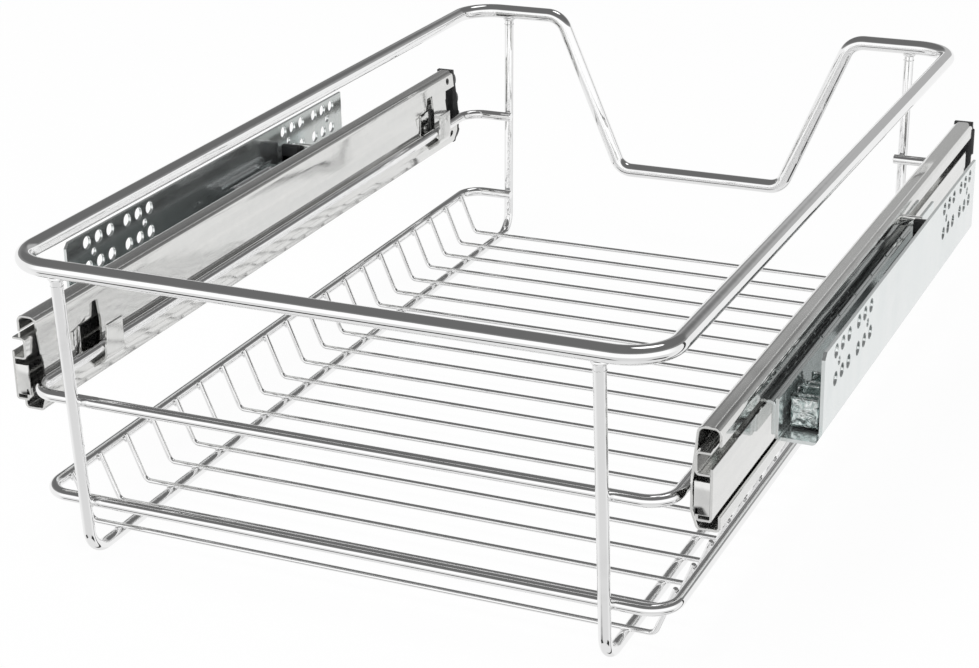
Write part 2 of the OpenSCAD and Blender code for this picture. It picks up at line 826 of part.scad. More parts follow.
// Close-wound spring, drawn as a row of rings on a thin core.
module soft_close_spring() {
    ring_r = (spring_d - spring_wire_d) / 2;
    color(chrome)
        translate([spring_x, housing_rear_y + housing_wall, drive_z])
            rotate([-90, 0, 0]) {
                cylinder(d = spring_d - 2 * spring_wire_d + 0.2, h = spring_l);
                for (i = [0:spring_turns - 1])
                    translate([0, 0, spring_l * (i + 0.5) / spring_turns])
                        rotate_extrude()
                            translate([ring_r, 0])
                                circle(d = spring_wire_d, $fn = 24);
            }
}

module soft_close_catch() {
    x0 = housing_x + housing_wall + slot_clear;
    x1 = housing_x + housing_w - housing_wall - slot_clear;
    low = housing_low_z + housing_floor_h + 0.1;
    color(black) {
        block([x0, catch_rear_y, low], [x1, catch_rear_y + catch_l, tab_low_z - 0.5]);
        // Wall behind the drawer member's tab
        block([x0, catch_rear_y, low], [x1, catch_rear_y + 3.6, tab_high_z]);
    }
}

module slide_part(side, part) {
    mirrored(side) {
        if (part == "cabinet_bracket") cabinet_bracket();
        if (part == "cabinet_rail") cabinet_rail();
        if (part == "bracket_rivets") bracket_rivets();
        if (part == "rail_cage") rail_cage();
        if (part == "rail_balls") rail_balls();
        if (part == "intermediate_member") intermediate_member();
        if (part == "slide_balls") slide_balls();
        if (part == "upper_cage") slide_cage(upper_ball_z);
        if (part == "lower_cage") slide_cage(lower_ball_z);
        if (part == "drawer_member") drawer_member();
        if (part == "end_cap") end_cap();
        if (part == "channel_buffer") channel_buffer();
        if (part == "soft_close_housing") soft_close_housing();
        if (part == "soft_close_damper") soft_close_damper();
        if (part == "damper_rod") damper_rod();
        if (part == "soft_close_spring") soft_close_spring();
        if (part == "soft_close_catch") soft_close_catch();
    }
}

rim_wire();
side_rail(middle_rail_z);  // middle_rail
side_rail(lower_rail_z);  // lower_rail
leg_wire(-leg_x);  // left_leg_wire
leg_wire(leg_x);  // right_leg_wire
for (i = [1:floor_count])
    floor_wire(i);
for (side = SIDES)
    for (part = SLIDE_PARTS)
        slide_part(side, part);
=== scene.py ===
"""Looks of the pull-out wire basket, its slides and its cabinet brackets."""

import json
import math
from collections import namedtuple

import bmesh
import bpy
from mathutils import Matrix, Vector

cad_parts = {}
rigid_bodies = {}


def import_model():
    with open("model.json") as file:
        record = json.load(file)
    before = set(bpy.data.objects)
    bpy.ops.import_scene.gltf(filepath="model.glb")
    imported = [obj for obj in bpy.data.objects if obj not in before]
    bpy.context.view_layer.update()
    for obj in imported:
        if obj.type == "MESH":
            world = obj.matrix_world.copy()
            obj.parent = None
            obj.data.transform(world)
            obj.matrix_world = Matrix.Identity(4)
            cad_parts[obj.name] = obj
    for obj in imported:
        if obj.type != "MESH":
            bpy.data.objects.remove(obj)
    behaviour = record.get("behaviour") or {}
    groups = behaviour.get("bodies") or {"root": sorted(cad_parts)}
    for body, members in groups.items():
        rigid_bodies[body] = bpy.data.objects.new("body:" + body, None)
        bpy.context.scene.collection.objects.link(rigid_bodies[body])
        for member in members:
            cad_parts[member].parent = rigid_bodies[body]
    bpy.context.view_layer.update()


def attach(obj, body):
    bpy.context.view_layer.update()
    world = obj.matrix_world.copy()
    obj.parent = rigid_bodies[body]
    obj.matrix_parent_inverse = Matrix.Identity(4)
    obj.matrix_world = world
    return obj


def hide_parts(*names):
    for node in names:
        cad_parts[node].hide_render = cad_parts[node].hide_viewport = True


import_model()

MM = 0.001
SIDES = {"right": 1, "left": -1}
ACROSS, OUTWARD, UP = (1, 0, 0), (0, 1, 0), (0, 0, 1)

# --- sizes, in millimetres ---

# Basket
RIM_D, FRAME_D, FLOOR_D = 8.0, 5.4, 2.4
RIM_X, RIM_Y, RIM_Z, RIM_CORNER_R = 147.0, 237.0, 139.2, 20.0
DIP_TOP_X, DIP_BOTTOM_X, DIP_DEPTH = 88.5, 50.0, 90.8
DIP_TOP_R, DIP_BOTTOM_R = 12.0, 10.0
LEG_X, LEG_LEAN, LEG_BEND_R = 122.0, 6.5, 12.0
LEG_BASE_Z = FRAME_D / 2
RAIL_X, RAIL_END_X, RAIL_CORNER_R = 147.4, 118.3, 12.0
MIDDLE_RAIL_Y, MIDDLE_RAIL_Z = 228.7, 76.0
LOWER_RAIL_Y, LOWER_RAIL_Z = 226.35, 27.0
FLOOR_COUNT, FLOOR_PITCH, FLOOR_Z = 20, 22.0, 6.5
FLOOR_REAR_Y = -(FLOOR_COUNT - 1) / 2 * FLOOR_PITCH
FLOOR_BEND_X, FLOOR_TIP_X, FLOOR_TIP_Z, FLOOR_BEND_R = 135.16, 144.1, 29.0, 4.0

# Weld beads: half sizes along x, y and z; under the rim, first how far below its lower edge
LEG_BEAD, TIP_BEAD, RAIL_BEAD = (1.9, 1.7, 0.75), (0.8, 1.7, 1.9), (2.6, 1.0, 2.6)
RIM_BEADS = ((-0.1, (3.7, 3.4, 2.0)), (3.3, (3.05, 3.05, 0.55)))

# Slide, right-hand side
SLIDE_T, FOLD_R, TOP_FOLD_R, BOX_FOLD_R = 1.2, 1.6, 2.9, 0.9
SLIDE_LOW_Z, SLIDE_TOP_Z = 59.2, 104.2
DRAWER_WEB_X, DRAWER_BACK_X, DRAWER_LIP_X = 151.1, 153.6, 162.6
SLIDE_IN_X, DRAWER_OUT_X = DRAWER_WEB_X - SLIDE_T / 2, DRAWER_LIP_X + SLIDE_T / 2
DRAWER_REAR_Y, DRAWER_FRONT_Y = -213.0, 220.0
UPPER_LIP_H, LOWER_LIP_H, SHOULDER_H, LEAN_H = 8.0, 6.9, 8.0, 24.0
INTER_REAR_Y, INTER_FRONT_Y = -220.0, 213.0
INTER_WEB_X, INTER_FACE_X, LEDGE_OUT_X = 155.0, 161.4, 161.0
INTER_TOP_Z, INTER_LOW_Z, LEDGE_Z, FACE_TOP_Z = 96.1, 67.3, 86.8, 89.7
HOOK_YS, HOOK_W, HOOK_R, HOOK_ROOT_Z, HOOK_DROP = (-168.0, 188.0), 15.0, 3.35, 66.0, 5.2
HOOK_TIP_Z, HOOK_TAPER = 87.0, 2.5
WEB_CUT_X0, WEB_CUT_X1 = 149.0, 156.0
# Window beside a hook, as [y, z] from the middle of the hook and of the middle rail
HOOK_WINDOW = ((-22, -2.75), (-1, -2.75), (1.5, 10), (1.5, 20.5),
               (-5.5, 20.5), (-6.5, 17), (-13, 14.5), (-21, 13))
RAMP_Y0, RAMP_Y1, RAMP_Z0, RAMP_Z1, RAMP_SLOPE = -22.2, -14.5, -2.4, 12.8, 0.15
NOTCH_L, NOTCH_Z = 14.0, (73.2, 94.7)
END_HOLE_X, END_HOLE_D, END_HOLE_BACK, END_HOLE_ZS = 152.0, 4.0, 8.0, (67.1, 99.6)
CAP_T, BUMP_R, BUMP_COUNT, BUMP_PITCH, FIRST_BUMP = 2.4, 4.0, 4, 11.25, 5.6
BALL_PLAY = 0.3
SLIDE_BALL_D, SLIDE_BALL_X, SLIDE_BALL_COUNT, SLIDE_BALL_PITCH = 6.0, 157.9, 9, 16.0
UPPER_BALL_Z, LOWER_BALL_Z = 99.85, 63.55
SLIDE_CAGE_REAR_Y, SLIDE_CAGE_END, SLIDE_CAGE_W, SLIDE_CAGE_H = -87.0, 10.0, 7.2, 4.9
CAGE_SLOT_W, CAGE_SLOT_L = 2.4, 5.2
RAIL_BALL_D, RAIL_BALL_X, RAIL_BALL_COUNT, RAIL_BALL_PITCH = 3.0, 159.0, 8, 13.5
RAIL_BALL_ZS = (89.05, 93.85)
RAIL_CAGE_REAR_Y, RAIL_CAGE_GAP, RAIL_CAGE_T = -123.0, 0.3, 0.8

# Bracket and cabinet rail, right-hand side
BRACKET_T, BRACKET_EDGE = 1.5, 0.2
UPRIGHT_X, PLATE_X, FLANGE_Z = 167.15, 183.25, 74.95
PLATE_TOP_Z, UPRIGHT_TOP_Z = 111.7, 93.2
UPRIGHT_REAR_Y, UPRIGHT_FRONT_Y = -154.0, 113.0
PLATE_REAR_Y, FLANGE_REAR_Y, PLATE_FRONT_Y = -145.0, -153.0, 131.5
TONGUE_Z, TONGUE_IN_X, RAIL_FLANGE_LOW_Z, RAIL_FRONT_Y = 91.45, 157.0, 76.95, 83.0
TONGUE_HOLE_REAR_Y, TONGUE_HOLE_PITCH, TONGUE_HOLE_COUNT, TONGUE_HOLE_D = -81.0, 27.4, 6, 2.4
HOLE_YS = (0.0, 10.0, 20.0, 35.0, 45.0, 55.0)
SMALL_HOLE_YS = (5.0, 50.0)
CLUSTER_YS = (-128.0, 64.0)
ROW_ZS, SMALL_ROW_Z = (106.7, 94.3), 100.5
HOLE_D, SMALL_HOLE_D, HOLE_RIM_R, PUNCH_L = 6.6, 4.2, 0.16, 4.0
RIVET_REAR_Y, RIVET_PITCH, RIVET_COUNT, RIVET_Z = -124.375, 59.25, 4, 83.7
RIVET_HEAD_D, RIVET_HEAD_T, RIVET_SHANK_R, RIVET_HOLE_D = 6.4, 0.8, 1.98, 4.0

# Soft-close unit, right-hand side
HOUSING_X, HOUSING_W, HOUSING_WALL, CHANNEL_FLOOR_Z = 168.9, 13.4, 1.2, 75.7
UNIT_LOW_Z = CHANNEL_FLOOR_Z + 0.3
HOUSING_REAR_Y, HOUSING_FRONT_Y = -1.0, 107.5
HOUSING_TOP_Z, HOUSING_FLOOR_Z, GUIDE_H = CHANNEL_FLOOR_Z + 20.3, CHANNEL_FLOOR_Z + 14.0, 1.5
CATCH_REAR_Y, CATCH_L, CATCH_PLAY, NOSE_L = 57.0, 14.0, 0.3, 3.6
TAB_REAR_Y, TAB_T, TAB_OUT_X, TAB_LOW_Z, TAB_HIGH_Z = CATCH_REAR_Y + 4.0, 3.0, 173.6, 96.8, 101.8
DRIVE_Z, SPRING_X, DAMPER_X = 92.5, 172.6, 178.3
SPRING_D, SPRING_WIRE_D, SPRING_L, SPRING_TURNS = 4.4, 0.8, 56.5, 14
DAMPER_D, DAMPER_L, ROD_D = 5.0, 40.0, 1.7
BUFFER_REAR_Y, BUFFER_L, BUFFER_BASE_H = -144.0, 36.0, 9.0
BUFFER_RIBS, BUFFER_RIB_L, BUFFER_RIB_H, BUFFER_RIB_STEP = 5, 3.4, 15.0, 1.2


# --- node trees ---

class Signal:
    """A socket of a node tree; arithmetic on it adds Math nodes."""

    def __init__(self, nodes, socket):
        self.nodes, self.socket = nodes, socket

    def _math(self, operation, *terms):
        return self.nodes.add("ShaderNodeMath", {"operation": operation}, dict(enumerate(terms)))

    def __add__(self, other):
        return self._math("ADD", self, other)

    def __sub__(self, other):
        return self._math("SUBTRACT", self, other)

    def __rsub__(self, other):
        return self._math("SUBTRACT", other, self)

    def __mul__(self, other):
        return self._math("MULTIPLY", self, other)

    __radd__, __rmul__ = __add__, __mul__

    def __abs__(self):
        return self._math("ABSOLUTE", self)

    def clamped(self):
        return self._math("MINIMUM", self._math("MAXIMUM", self, 0.0), 1.0)


class Nodes:
    """A node tree that is built one node after the other."""

    def __init__(self, tree):
        self.tree = tree

    def add(self, kind, settings=None, inputs=None, out=0):
        """Any node: its type, its settings, then values or signals for its inputs."""
        node = self.tree.nodes.new(kind)
        for key, value in (settings or {}).items():
            setattr(node, key, value)
        for key, value in (inputs or {}).items():
            if isinstance(value, Signal):
                self.tree.links.new(value.socket, node.inputs[key])
            else:
                node.inputs[key].default_value = value
        return Signal(self, node.outputs[out]) if node.outputs else None

    def noise(self, where, scale, detail=2.0, roughness=0.5, distortion=0.0):
        return self.add("ShaderNodeTexNoise", None, {
            "Vector": where, "Scale": scale, "Detail": detail,
            "Roughness": roughness, "Distortion": distortion})


class Finish(Nodes):
    """A surface finish: the nodes of a material or of the world."""

    def __init__(self, name, owner=None):
        self.owner = owner or bpy.data.materials.new(name)
        self.owner.use_nodes = True
        super().__init__(self.owner.node_tree)
        self.tree.nodes.clear()

    def place(self):
        return self.add("ShaderNodeTexCoord", None, None, "Object")

    def grain(self, scale, detail, roughness=0.5):
        """Noise scaled per axis, for streaks that run along one of them."""
        where = self.add("ShaderNodeMapping", None, {"Vector": self.place(), "Scale": scale})
        return self.noise(where, 1.0, detail, roughness)

    def between(self, low, high, amount):
        """Colour from low to high as amount goes from 0 to 1."""
        return self.add("ShaderNodeMix", {"data_type": "RGBA"}, {0: amount, 6: low, 7: high}, 2)

    def bump(self, height, distance, strength=1.0, below=None):
        inputs = {"Height": height, "Distance": distance, "Strength": strength}
        if below:
            inputs["Normal"] = below
        return self.add("ShaderNodeBump", None, inputs)

    def surface(self, **inputs):
        names = {key.replace("_", " ").title(): value for key, value in inputs.items()}
        shader = self.add("ShaderNodeBsdfPrincipled", None, names)
        self.add("ShaderNodeOutputMaterial", None, {"Surface": shader})
        return self.owner


def grey(level):
    return (level, level, level, 1.0)


def chrome_plating():
    """Bright chrome on drawn wire: faint lengthwise drawing lines, soft waviness, a few dull spots."""
    f = Finish("chrome_plating")
    run = f.add("ShaderNodeAttribute", {"attribute_name": "run"}, None, "Fac")
    around = f.add("ShaderNodeAttribute", {"attribute_name": "around"}, None, "Vector")
    lengthwise = f.add("ShaderNodeCombineXYZ", None, {"X": 0.0, "Y": 0.0, "Z": run * 30.0})
    where = f.add("ShaderNodeVectorMath", {"operation": "MULTIPLY_ADD"}, {
        0: around, 1: (4.0, 4.0, 0.0), 2: lengthwise})
    lines = f.noise(where, 1.0, 3.0, 0.6)
    waves = f.noise(f.place(), 160.0, 1.0, 0.4)
    dull = f.noise(f.place(), 34.0, 4.0, 0.62)
    spots = ((dull - 0.56) * 6.0).clamped()
    skin = f.bump(waves, 0.00006, 0.5)
    skin = f.bump(lines, 0.00002, 0.4, skin)
    return f.surface(
        base_color=f.between(grey(0.905), grey(0.79), spots * 0.6),
        metallic=1.0, roughness=lines * 0.025 + spots * 0.07 + 0.01, normal=skin)


def rolled_zinc():
    """Bright zinc on rolled slide strip: streaks along the strip, warm grey tint."""
    f = Finish("rolled_zinc")
    streaks = f.grain((900.0, 6.0, 900.0), 3.0, 0.65)
    bands = f.grain((260.0, 2.0, 260.0), 2.0)
    spangle = f.noise(f.place(), 220.0, 3.0, 0.6)
    rub = ((f.grain((60.0, 9.0, 60.0), 4.0, 0.6) - 0.52) * 5.0).clamped()
    skin = f.bump(streaks, 0.00003, 0.3)
    skin = f.bump(f.grain((30.0, 26.0, 40.0), 1.0), 0.0007, 0.5, skin)
    tint = f.between((0.86, 0.855, 0.835, 1), (0.66, 0.665, 0.66, 1), bands * 0.7 + spangle * 0.3)
    return f.surface(
        base_color=f.between(tint, (0.84, 0.84, 0.83, 1), rub * 0.35),
        metallic=0.92, roughness=streaks * 0.07 + spangle * 0.04 + 0.02, normal=skin)


def plated_sheet():
    """Pale zinc-plated sheet: faint upright streaks, fine crystals, a cool darker tint in random patches.
    """
    f = Finish("plated_sheet")
    where = f.place()
    streaks = f.grain((50.0, 120.0, 14.0), 4.0, 0.6)
    crystals = f.add("ShaderNodeTexVoronoi", {"feature": "F1"}, {"Vector": where, "Scale": 900.0})
    patches = f.noise(where, 30.0, 3.0, 0.55)
    skin = f.bump(crystals, 0.00003, 0.25)
    skin = f.bump(f.noise(where, 60.0, 2.0), 0.0003, 0.3, skin)
    tint = f.between((0.76, 0.81, 0.81, 1), (0.89, 0.905, 0.90, 1), streaks)
    return f.surface(
        base_color=f.between(tint, (0.64, 0.70, 0.70, 1), ((patches - 0.5) * 2.0).clamped() * 0.5),
        metallic=0.85, roughness=streaks * 0.1 + patches * 0.08 + 0.035, normal=skin)


def cast_zinc():
    """Satin cast zinc with a rippled skin that breaks reflections up, and a painted sheen and shade: pale
    colour on the ripple crests, dark teal in the troughs.
    """
    f = Finish("cast_zinc")
    where = f.place()
    ripples = f.noise(where, 260.0, 3.0, 0.6, 1.6)
    # Painted sheen and shade: the colour follows the ripples, pale where they rise and dark teal where they
    # sink.
    painted_ripple_sheen = ((ripples - 0.3) * 2.4).clamped()
    pits = f.add("ShaderNodeTexVoronoi", {"feature": "SMOOTH_F1"}, {"Vector": where, "Scale": 300.0})
    skin = f.bump(ripples, 0.0006, 0.9)
    skin = f.bump(pits, 0.0002, 0.5, skin)
    return f.surface(
        base_color=f.between((0.42, 0.50, 0.49, 1), (0.92, 0.95, 0.94, 1), painted_ripple_sheen),
        metallic=1.0, roughness=ripples * 0.12 + 0.03, normal=skin)


def bright_steel():
    """Hardened bright steel of balls, rivets, springs and rods."""
    f = Finish("bright_steel")
    where = f.place()
    smear = f.noise(where, 500.0, 3.0, 0.6)
    scuffs = ((f.noise(where, 1400.0, 2.0, 0.7) - 0.55) * 6.0).clamped()
    return f.surface(
        base_color=f.between((0.86, 0.86, 0.87, 1), (0.62, 0.62, 0.64, 1), scuffs * 0.6),
        metallic=1.0, roughness=smear * 0.12 + scuffs * 0.12 + 0.05,
        normal=f.bump(smear, 0.00004, 0.3))


def black_moulding():
    """Black moulded plastic: fine spark-eroded grain and paler flow marks."""
    f = Finish("black_moulding")
    grain = f.noise(f.place(), 3200.0, 2.0, 0.6)
    flow = f.grain((90.0, 40.0, 180.0), 3.0)
    return f.surface(
        base_color=f.between((0.010, 0.010, 0.011, 1), (0.032, 0.033, 0.035, 1), flow),
        roughness=grain * 0.18 + flow * 0.12 + 0.26,
        normal=f.bump(grain, 0.00005, 0.6))


Look = namedtuple("Look", "slot material")
CHROME = Look("chromed_wire", chrome_plating())
SLIDE_ZINC = Look("slide_steel", rolled_zinc())
SHEET_ZINC = Look("zinc_sheet", plated_sheet())
CAST_ZINC = Look("zinc_casting", cast_zinc())
STEEL = Look("bright_steel", bright_steel())
BLACK = Look("black_plastic", black_moulding())


# --- mesh helpers: shapes are bmeshes in millimetres until raw_object makes objects of them ---

def rounded_path(points, radii, closed=False, step=math.radians(4)):
    """Centre line of a bent wire or sheet: [(point, tangent)] with an arc at each corner."""
    pts = [Vector(p) for p in points]
    n = len(pts)
    path = []
    if not closed:
        path.append((pts[0], (pts[1] - pts[0]).normalized()))
    for i in range(n) if closed else range(1, n - 1):
        a, p, b = pts[i - 1], pts[i], pts[(i + 1) % n]
        u, w = (p - a).normalized(), (b - p).normalized()
        turn, r = u.angle(w), radii[i]
        inward = (w - u * u.dot(w)).normalized()
        centre = p - u * r * math.tan(turn / 2) + inward * r
        steps = max(2, math.ceil(turn / step))
        for k in range(steps + 1):
            t = turn * k / steps
            path.append((centre - inward * r * math.cos(t) + u * r * math.sin(t),
                         u * math.cos(t) + inward * math.sin(t)))
    if not closed:
        path.append((pts[-1], (pts[-1] - pts[-2]).normalized()))
    return path


def sheet(section, thickness, y0, y1, fold_r=FOLD_R, edge=0.18):
    """Folded sheet: its section, drawn as [x, z] on the centre line, run along Y.

    The fold radius is one number, or a list with one for each point of the section."""
    radii = fold_r if isinstance(fold_r, list) else [fold_r] * len(section)
    path = rounded_path([(x, 0, z) for x, z in section], radii, step=math.radians(9))
    half = thickness / 2
    rim = [(p, Vector((-t.z, 0, t.x)) * half) for p, t in path]
    # Rounded cut edges at both ends of the section
    (p0, t0), (p1, t1) = path[0], path[-1]
    n0, n1 = rim[0][1], rim[-1][1]
    thin = 1 - edge / half
    rim[0], rim[-1] = (p0 + t0 * edge, n0), (p1 - t1 * edge, n1)
    rim = [(p0, n0 * thin)] + rim + [(p1, n1 * thin)]
    bm = bmesh.new()
    rows = []
    for y, inset in ((y0, edge), (y0 + edge, 0), (y1 - edge, 0), (y1, edge)):
        scale = 1 - inset / half
        rows.append([[bm.verts.new((q.x, y, q.z)) for q in (p + n * scale, p - n * scale)]
                     for p, n in rim])
    for a, b in zip(rows, rows[1:]):
        for i in range(len(rim) - 1):
            for k in (0, 1):
                bm.faces.new((a[i][k], a[i + 1][k], b[i + 1][k], b[i][k]))
        for i in (0, -1):
            bm.faces.new((a[i][0], a[i][1], b[i][1], b[i][0]))
    for row in (rows[0], rows[-1]):
        for i in range(len(rim) - 1):
            bm.faces.new((row[i][0], row[i][1], row[i + 1][1], row[i + 1][0]))
    bmesh.ops.recalc_face_normals(bm, faces=bm.faces)
    return bm


def plain_block(low, high):
    """Sharp-edged block."""
    low, high = Vector(low), Vector(high)
    bm = bmesh.new()
    bmesh.ops.create_cube(bm, size=1.0)
    place = Matrix.Translation((low + high) / 2) @ Matrix.Diagonal((high - low).to_4d())
    bmesh.ops.transform(bm, matrix=place, verts=bm.verts)
    return bm


def bevel(bm, edges, radius, segments=2):
    bmesh.ops.bevel(bm, geom=edges, offset=radius, segments=segments, profile=0.5, affect="EDGES",
                    clamp_overlap=True)


def rounded_block(low, high, radius, segments=2):
    """Block with rounded edges."""
    bm = plain_block(low, high)
    bevel(bm, list(bm.edges), min(radius, min(Vector(high) - Vector(low)) * 0.45), segments)
    return bm


def turned(profile, axis, centre, sides):
    """Solid turned from a profile of (distance along the axis, radius) that ends on the axis."""
    axis, centre = Vector(axis).normalized(), Vector(centre)
    side = axis.orthogonal().normalized()
    lift = axis.cross(side)
    angles = [2 * math.pi * j / sides for j in range(sides)]
    bm = bmesh.new()
    rings = []
    for along, r in profile:
        middle = centre + axis * along
        spokes = [(side * math.cos(a) + lift * math.sin(a)) * r for a in angles] if r > 0 else [Vector()]
        rings.append([bm.verts.new(middle + spoke) for spoke in spokes])
    for here, there in zip(rings, rings[1:]):
        for j in range(sides):
            k = (j + 1) % sides
            corners = [ring[i % len(ring)] for ring, i in ((here, j), (here, k), (there, k), (there, j))]
            bm.faces.new(list(dict.fromkeys(corners)))
    bmesh.ops.recalc_face_normals(bm, faces=bm.faces)
    return bm


def pin(centre, d, length, sides=28, axis=ACROSS):
    """Closed round cutter centred on a point."""
    ends = [(-length / 2, 0), (-length / 2, d / 2), (length / 2, d / 2), (length / 2, 0)]
    return turned(ends, axis, centre, sides)


def prism(outline, x0, x1):
    """Outline drawn as [y, z], run from x0 to x1."""
    bm = bmesh.new()
    near, far = [[bm.verts.new((x, y, z)) for y, z in outline] for x in (x0, x1)]
    n = len(outline)
    for i in range(n):
        bm.faces.new((near[i], near[(i + 1) % n], far[(i + 1) % n], far[i]))
    bm.faces.new(near)
    bm.faces.new(far)
    bmesh.ops.recalc_face_normals(bm, faces=bm.faces)
    return bm


def mesh_of(name, bm):
    """Mesh data from a bmesh, which is used up."""
    mesh = bpy.data.meshes.new(name)
    bm.to_mesh(mesh)
    bm.free()
    return mesh


def in_scene(name, data):
    """New object, put into the scene."""
    obj = bpy.data.objects.new(name, data)
    bpy.context.scene.collection.objects.link(obj)
    return obj


def joined(*parts):
    """One bmesh from several, for solids that are welded or moulded together."""
    whole = parts[0]
    for part in parts[1:]:
        spare = mesh_of("spare", part)
        whole.from_mesh(spare)
        bpy.data.meshes.remove(spare)
    return whole


def raw_object(side, name, bm):
    """Object in metres from a bmesh in millimetres, drawn on the right and mirrored for the left side."""
    bmesh.ops.scale(bm, vec=(MM * SIDES[side], MM, MM), verts=bm.verts)
    if side == "left":
        bmesh.ops.reverse_faces(bm, faces=bm.faces)
    return in_scene(f"{side}_{name}", mesh_of(f"{side}_{name}", bm))


def bake(obj):
    """Turns the object and its modifiers into a plain mesh."""
    graph = bpy.context.evaluated_depsgraph_get()
    mesh = bpy.data.meshes.new_from_object(obj.evaluated_get(graph), depsgraph=graph)
    old = obj.data
    obj.modifiers.clear()
    obj.data = mesh
    bpy.data.meshes.remove(old)


def combine(obj, side, shape, operation="DIFFERENCE"):
    """Cuts a closed shape out of the object, or fuses it on."""
    tool = raw_object(side, "tool", shape)
    step = obj.modifiers.new("step", "BOOLEAN")
    step.operation, step.solver, step.object = operation, "EXACT", tool
    bake(obj)
    bpy.data.objects.remove(tool)


def finished(obj, body, look, *nodes, sharp=32.0):
    """Shades a piece, gives it its material, ties it to its body and hides the nodes it stands for."""
    slot, material = look
    mesh = obj.data
    mesh.materials.clear()
    mesh.materials.append(material)
    mesh.polygons.foreach_set("use_smooth", [True] * len(mesh.polygons))
    mesh.set_sharp_from_angle(angle=math.radians(sharp))
    mesh.update()
    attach(obj, body)
    if nodes:
        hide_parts(*nodes)


def piece(side, name, bm, body, look, node, cutters=(), sharp=32.0):
    """One dressed piece of one side, with closed shapes cut out of it, that stands for one node."""
    obj = raw_object(side, name, bm)
    if cutters:
        combine(obj, side, joined(*cutters))
    finished(obj, body, look, f"{side}_{node}", sharp=sharp)


# --- geometry node trees ---

class GeometryTree(Nodes):
    """A geometry node tree with named inputs, grown on an object into a plain mesh."""

    def __init__(self, name, sizes):
        super().__init__(bpy.data.node_groups.new(name, "GeometryNodeTree"))
        self.ids = {}
        face = self.tree.interface
        face.new_socket("Geometry", in_out="INPUT", socket_type="NodeSocketGeometry")
        face.new_socket("Geometry", in_out="OUTPUT", socket_type="NodeSocketGeometry")
        for label, kind in {**sizes, "Material": "Material"}.items():
            socket = face.new_socket(label, in_out="INPUT", socket_type=f"NodeSocket{kind}")
            self.ids[label] = socket.identifier
        self.start = self.tree.nodes.new("NodeGroupInput")
        self.end = self.tree.nodes.new("NodeGroupOutput")

    def __getitem__(self, label):
        return Signal(self, self.start.outputs[label])

    def circle(self, sides, radius):
        return self.add("GeometryNodeCurvePrimitiveCircle", {"mode": "RADIUS"}, {
            "Resolution": sides, "Radius": radius})

    def carried(self, name, kind="FLOAT"):
        """Attribute that the incoming points carry."""
        return self.add("GeometryNodeInputNamedAttribute", {"data_type": kind}, {"Name": name})

    def stored(self, geometry, name, kind, value):
        return self.add("GeometryNodeStoreNamedAttribute", {"data_type": kind, "domain": "POINT"}, {
            "Geometry": geometry, "Name": name, "Value": value})

    def hollows(self, detail, distortion=0.0):
        """Noise in space, as fine as the tree's input Grain."""
        where = self.add("GeometryNodeInputPosition")
        return self.noise(where, self["Grain"], detail, distortion=distortion)

    def pushed_out(self, geometry, distance):
        """Points moved along their normals."""
        offset = self.add("ShaderNodeVectorMath", {"operation": "SCALE"}, {
            0: self.add("GeometryNodeInputNormal"), "Scale": distance})
        return self.add("GeometryNodeSetPosition", None, {"Geometry": geometry, "Offset": offset})

    def close(self, geometry):
        """Ends the tree in Realize Instances and Set Material."""
        real = self.add("GeometryNodeRealizeInstances", None, {"Geometry": geometry})
        smooth = self.add("GeometryNodeSetShadeSmooth", None, {"Geometry": real})
        done = self.add("GeometryNodeSetMaterial", None, {
            "Geometry": smooth, "Material": self["Material"]})
        self.tree.links.new(done.socket, self.end.inputs[0])
        return self

    def grow(self, obj, look, **sizes):
        modifier = obj.modifiers.new(self.tree.name, "NODES")
        modifier.node_group = self.tree
        modifier[self.ids["Material"]] = look.material
        for label, value in sizes.items():
            modifier[self.ids[label.replace("_", " ")]] = value
        bake(obj)
        return obj


def wire_tree():
    """Wire along the incoming centre line; its skin keeps the length run and the place around the wire."""
    g = GeometryTree("drawn_wire", {"Sides": "Int"})
    line = g.add("GeometryNodeMeshToCurve", None, {"Mesh": g["Geometry"]})
    line = g.stored(line, "run", "FLOAT", g.add("GeometryNodeSplineParameter", None, None, "Length"))
    place = g.add("GeometryNodeInputPosition")
    ring = g.stored(g.circle(g["Sides"], 1.0), "around", "FLOAT_VECTOR", place)
    return g.close(g.add("GeometryNodeCurveToMesh", None, {
        "Curve": line, "Profile Curve": ring, "Scale": g.carried("wire_radius"), "Fill Caps": True}))


def row_tree():
    """Copies of the incoming shape in a straight row."""
    g = GeometryTree("row_of_copies", {"Count": "Int", "Start": "Vector", "Step": "Vector"})
    line = g.add("GeometryNodeMeshLine", {"mode": "OFFSET"}, {
        "Count": g["Count"], "Start Location": g["Start"], "Offset": g["Step"]})
    return g.close(g.add("GeometryNodeInstanceOnPoints", None, {
        "Points": line, "Instance": g["Geometry"]}))


def bead_tree():
    """Weld beads on the incoming points, each with its own size and a slightly uneven skin."""
    g = GeometryTree("uneven_beads", {"Unevenness": "Float", "Grain": "Float"})
    bead = g.add("GeometryNodeMeshIcoSphere", None, {"Radius": 1.0, "Subdivisions": 3})
    beads = g.add("GeometryNodeInstanceOnPoints", None, {
        "Points": g["Geometry"], "Instance": bead, "Scale": g.carried("bead_size", "FLOAT_VECTOR")})
    real = g.add("GeometryNodeRealizeInstances", None, {"Geometry": beads})
    return g.close(g.pushed_out(real, (g.hollows(1.0) - 0.5) * g["Unevenness"]))


def rim_tree():
    """Turned-over rims of punched holes, round the X axis, on the incoming points."""
    g = GeometryTree("turned_over_rims", {"Edge": "Float", "Sides": "Int"})
    turn = g.add("ShaderNodeCombineXYZ", None, {"X": 0.0, "Y": math.pi / 2, "Z": 0.0})
    rings = g.add("GeometryNodeInstanceOnPoints", None, {
        "Points": g["Geometry"], "Instance": g.circle(g["Sides"], 1.0),
        "Rotation": turn, "Scale": g.carried("hole_radius")})
    real = g.add("GeometryNodeRealizeInstances", None, {"Geometry": rings})
    return g.close(g.add("GeometryNodeCurveToMesh", None, {
        "Curve": real, "Profile Curve": g.circle(6, g["Edge"])}))


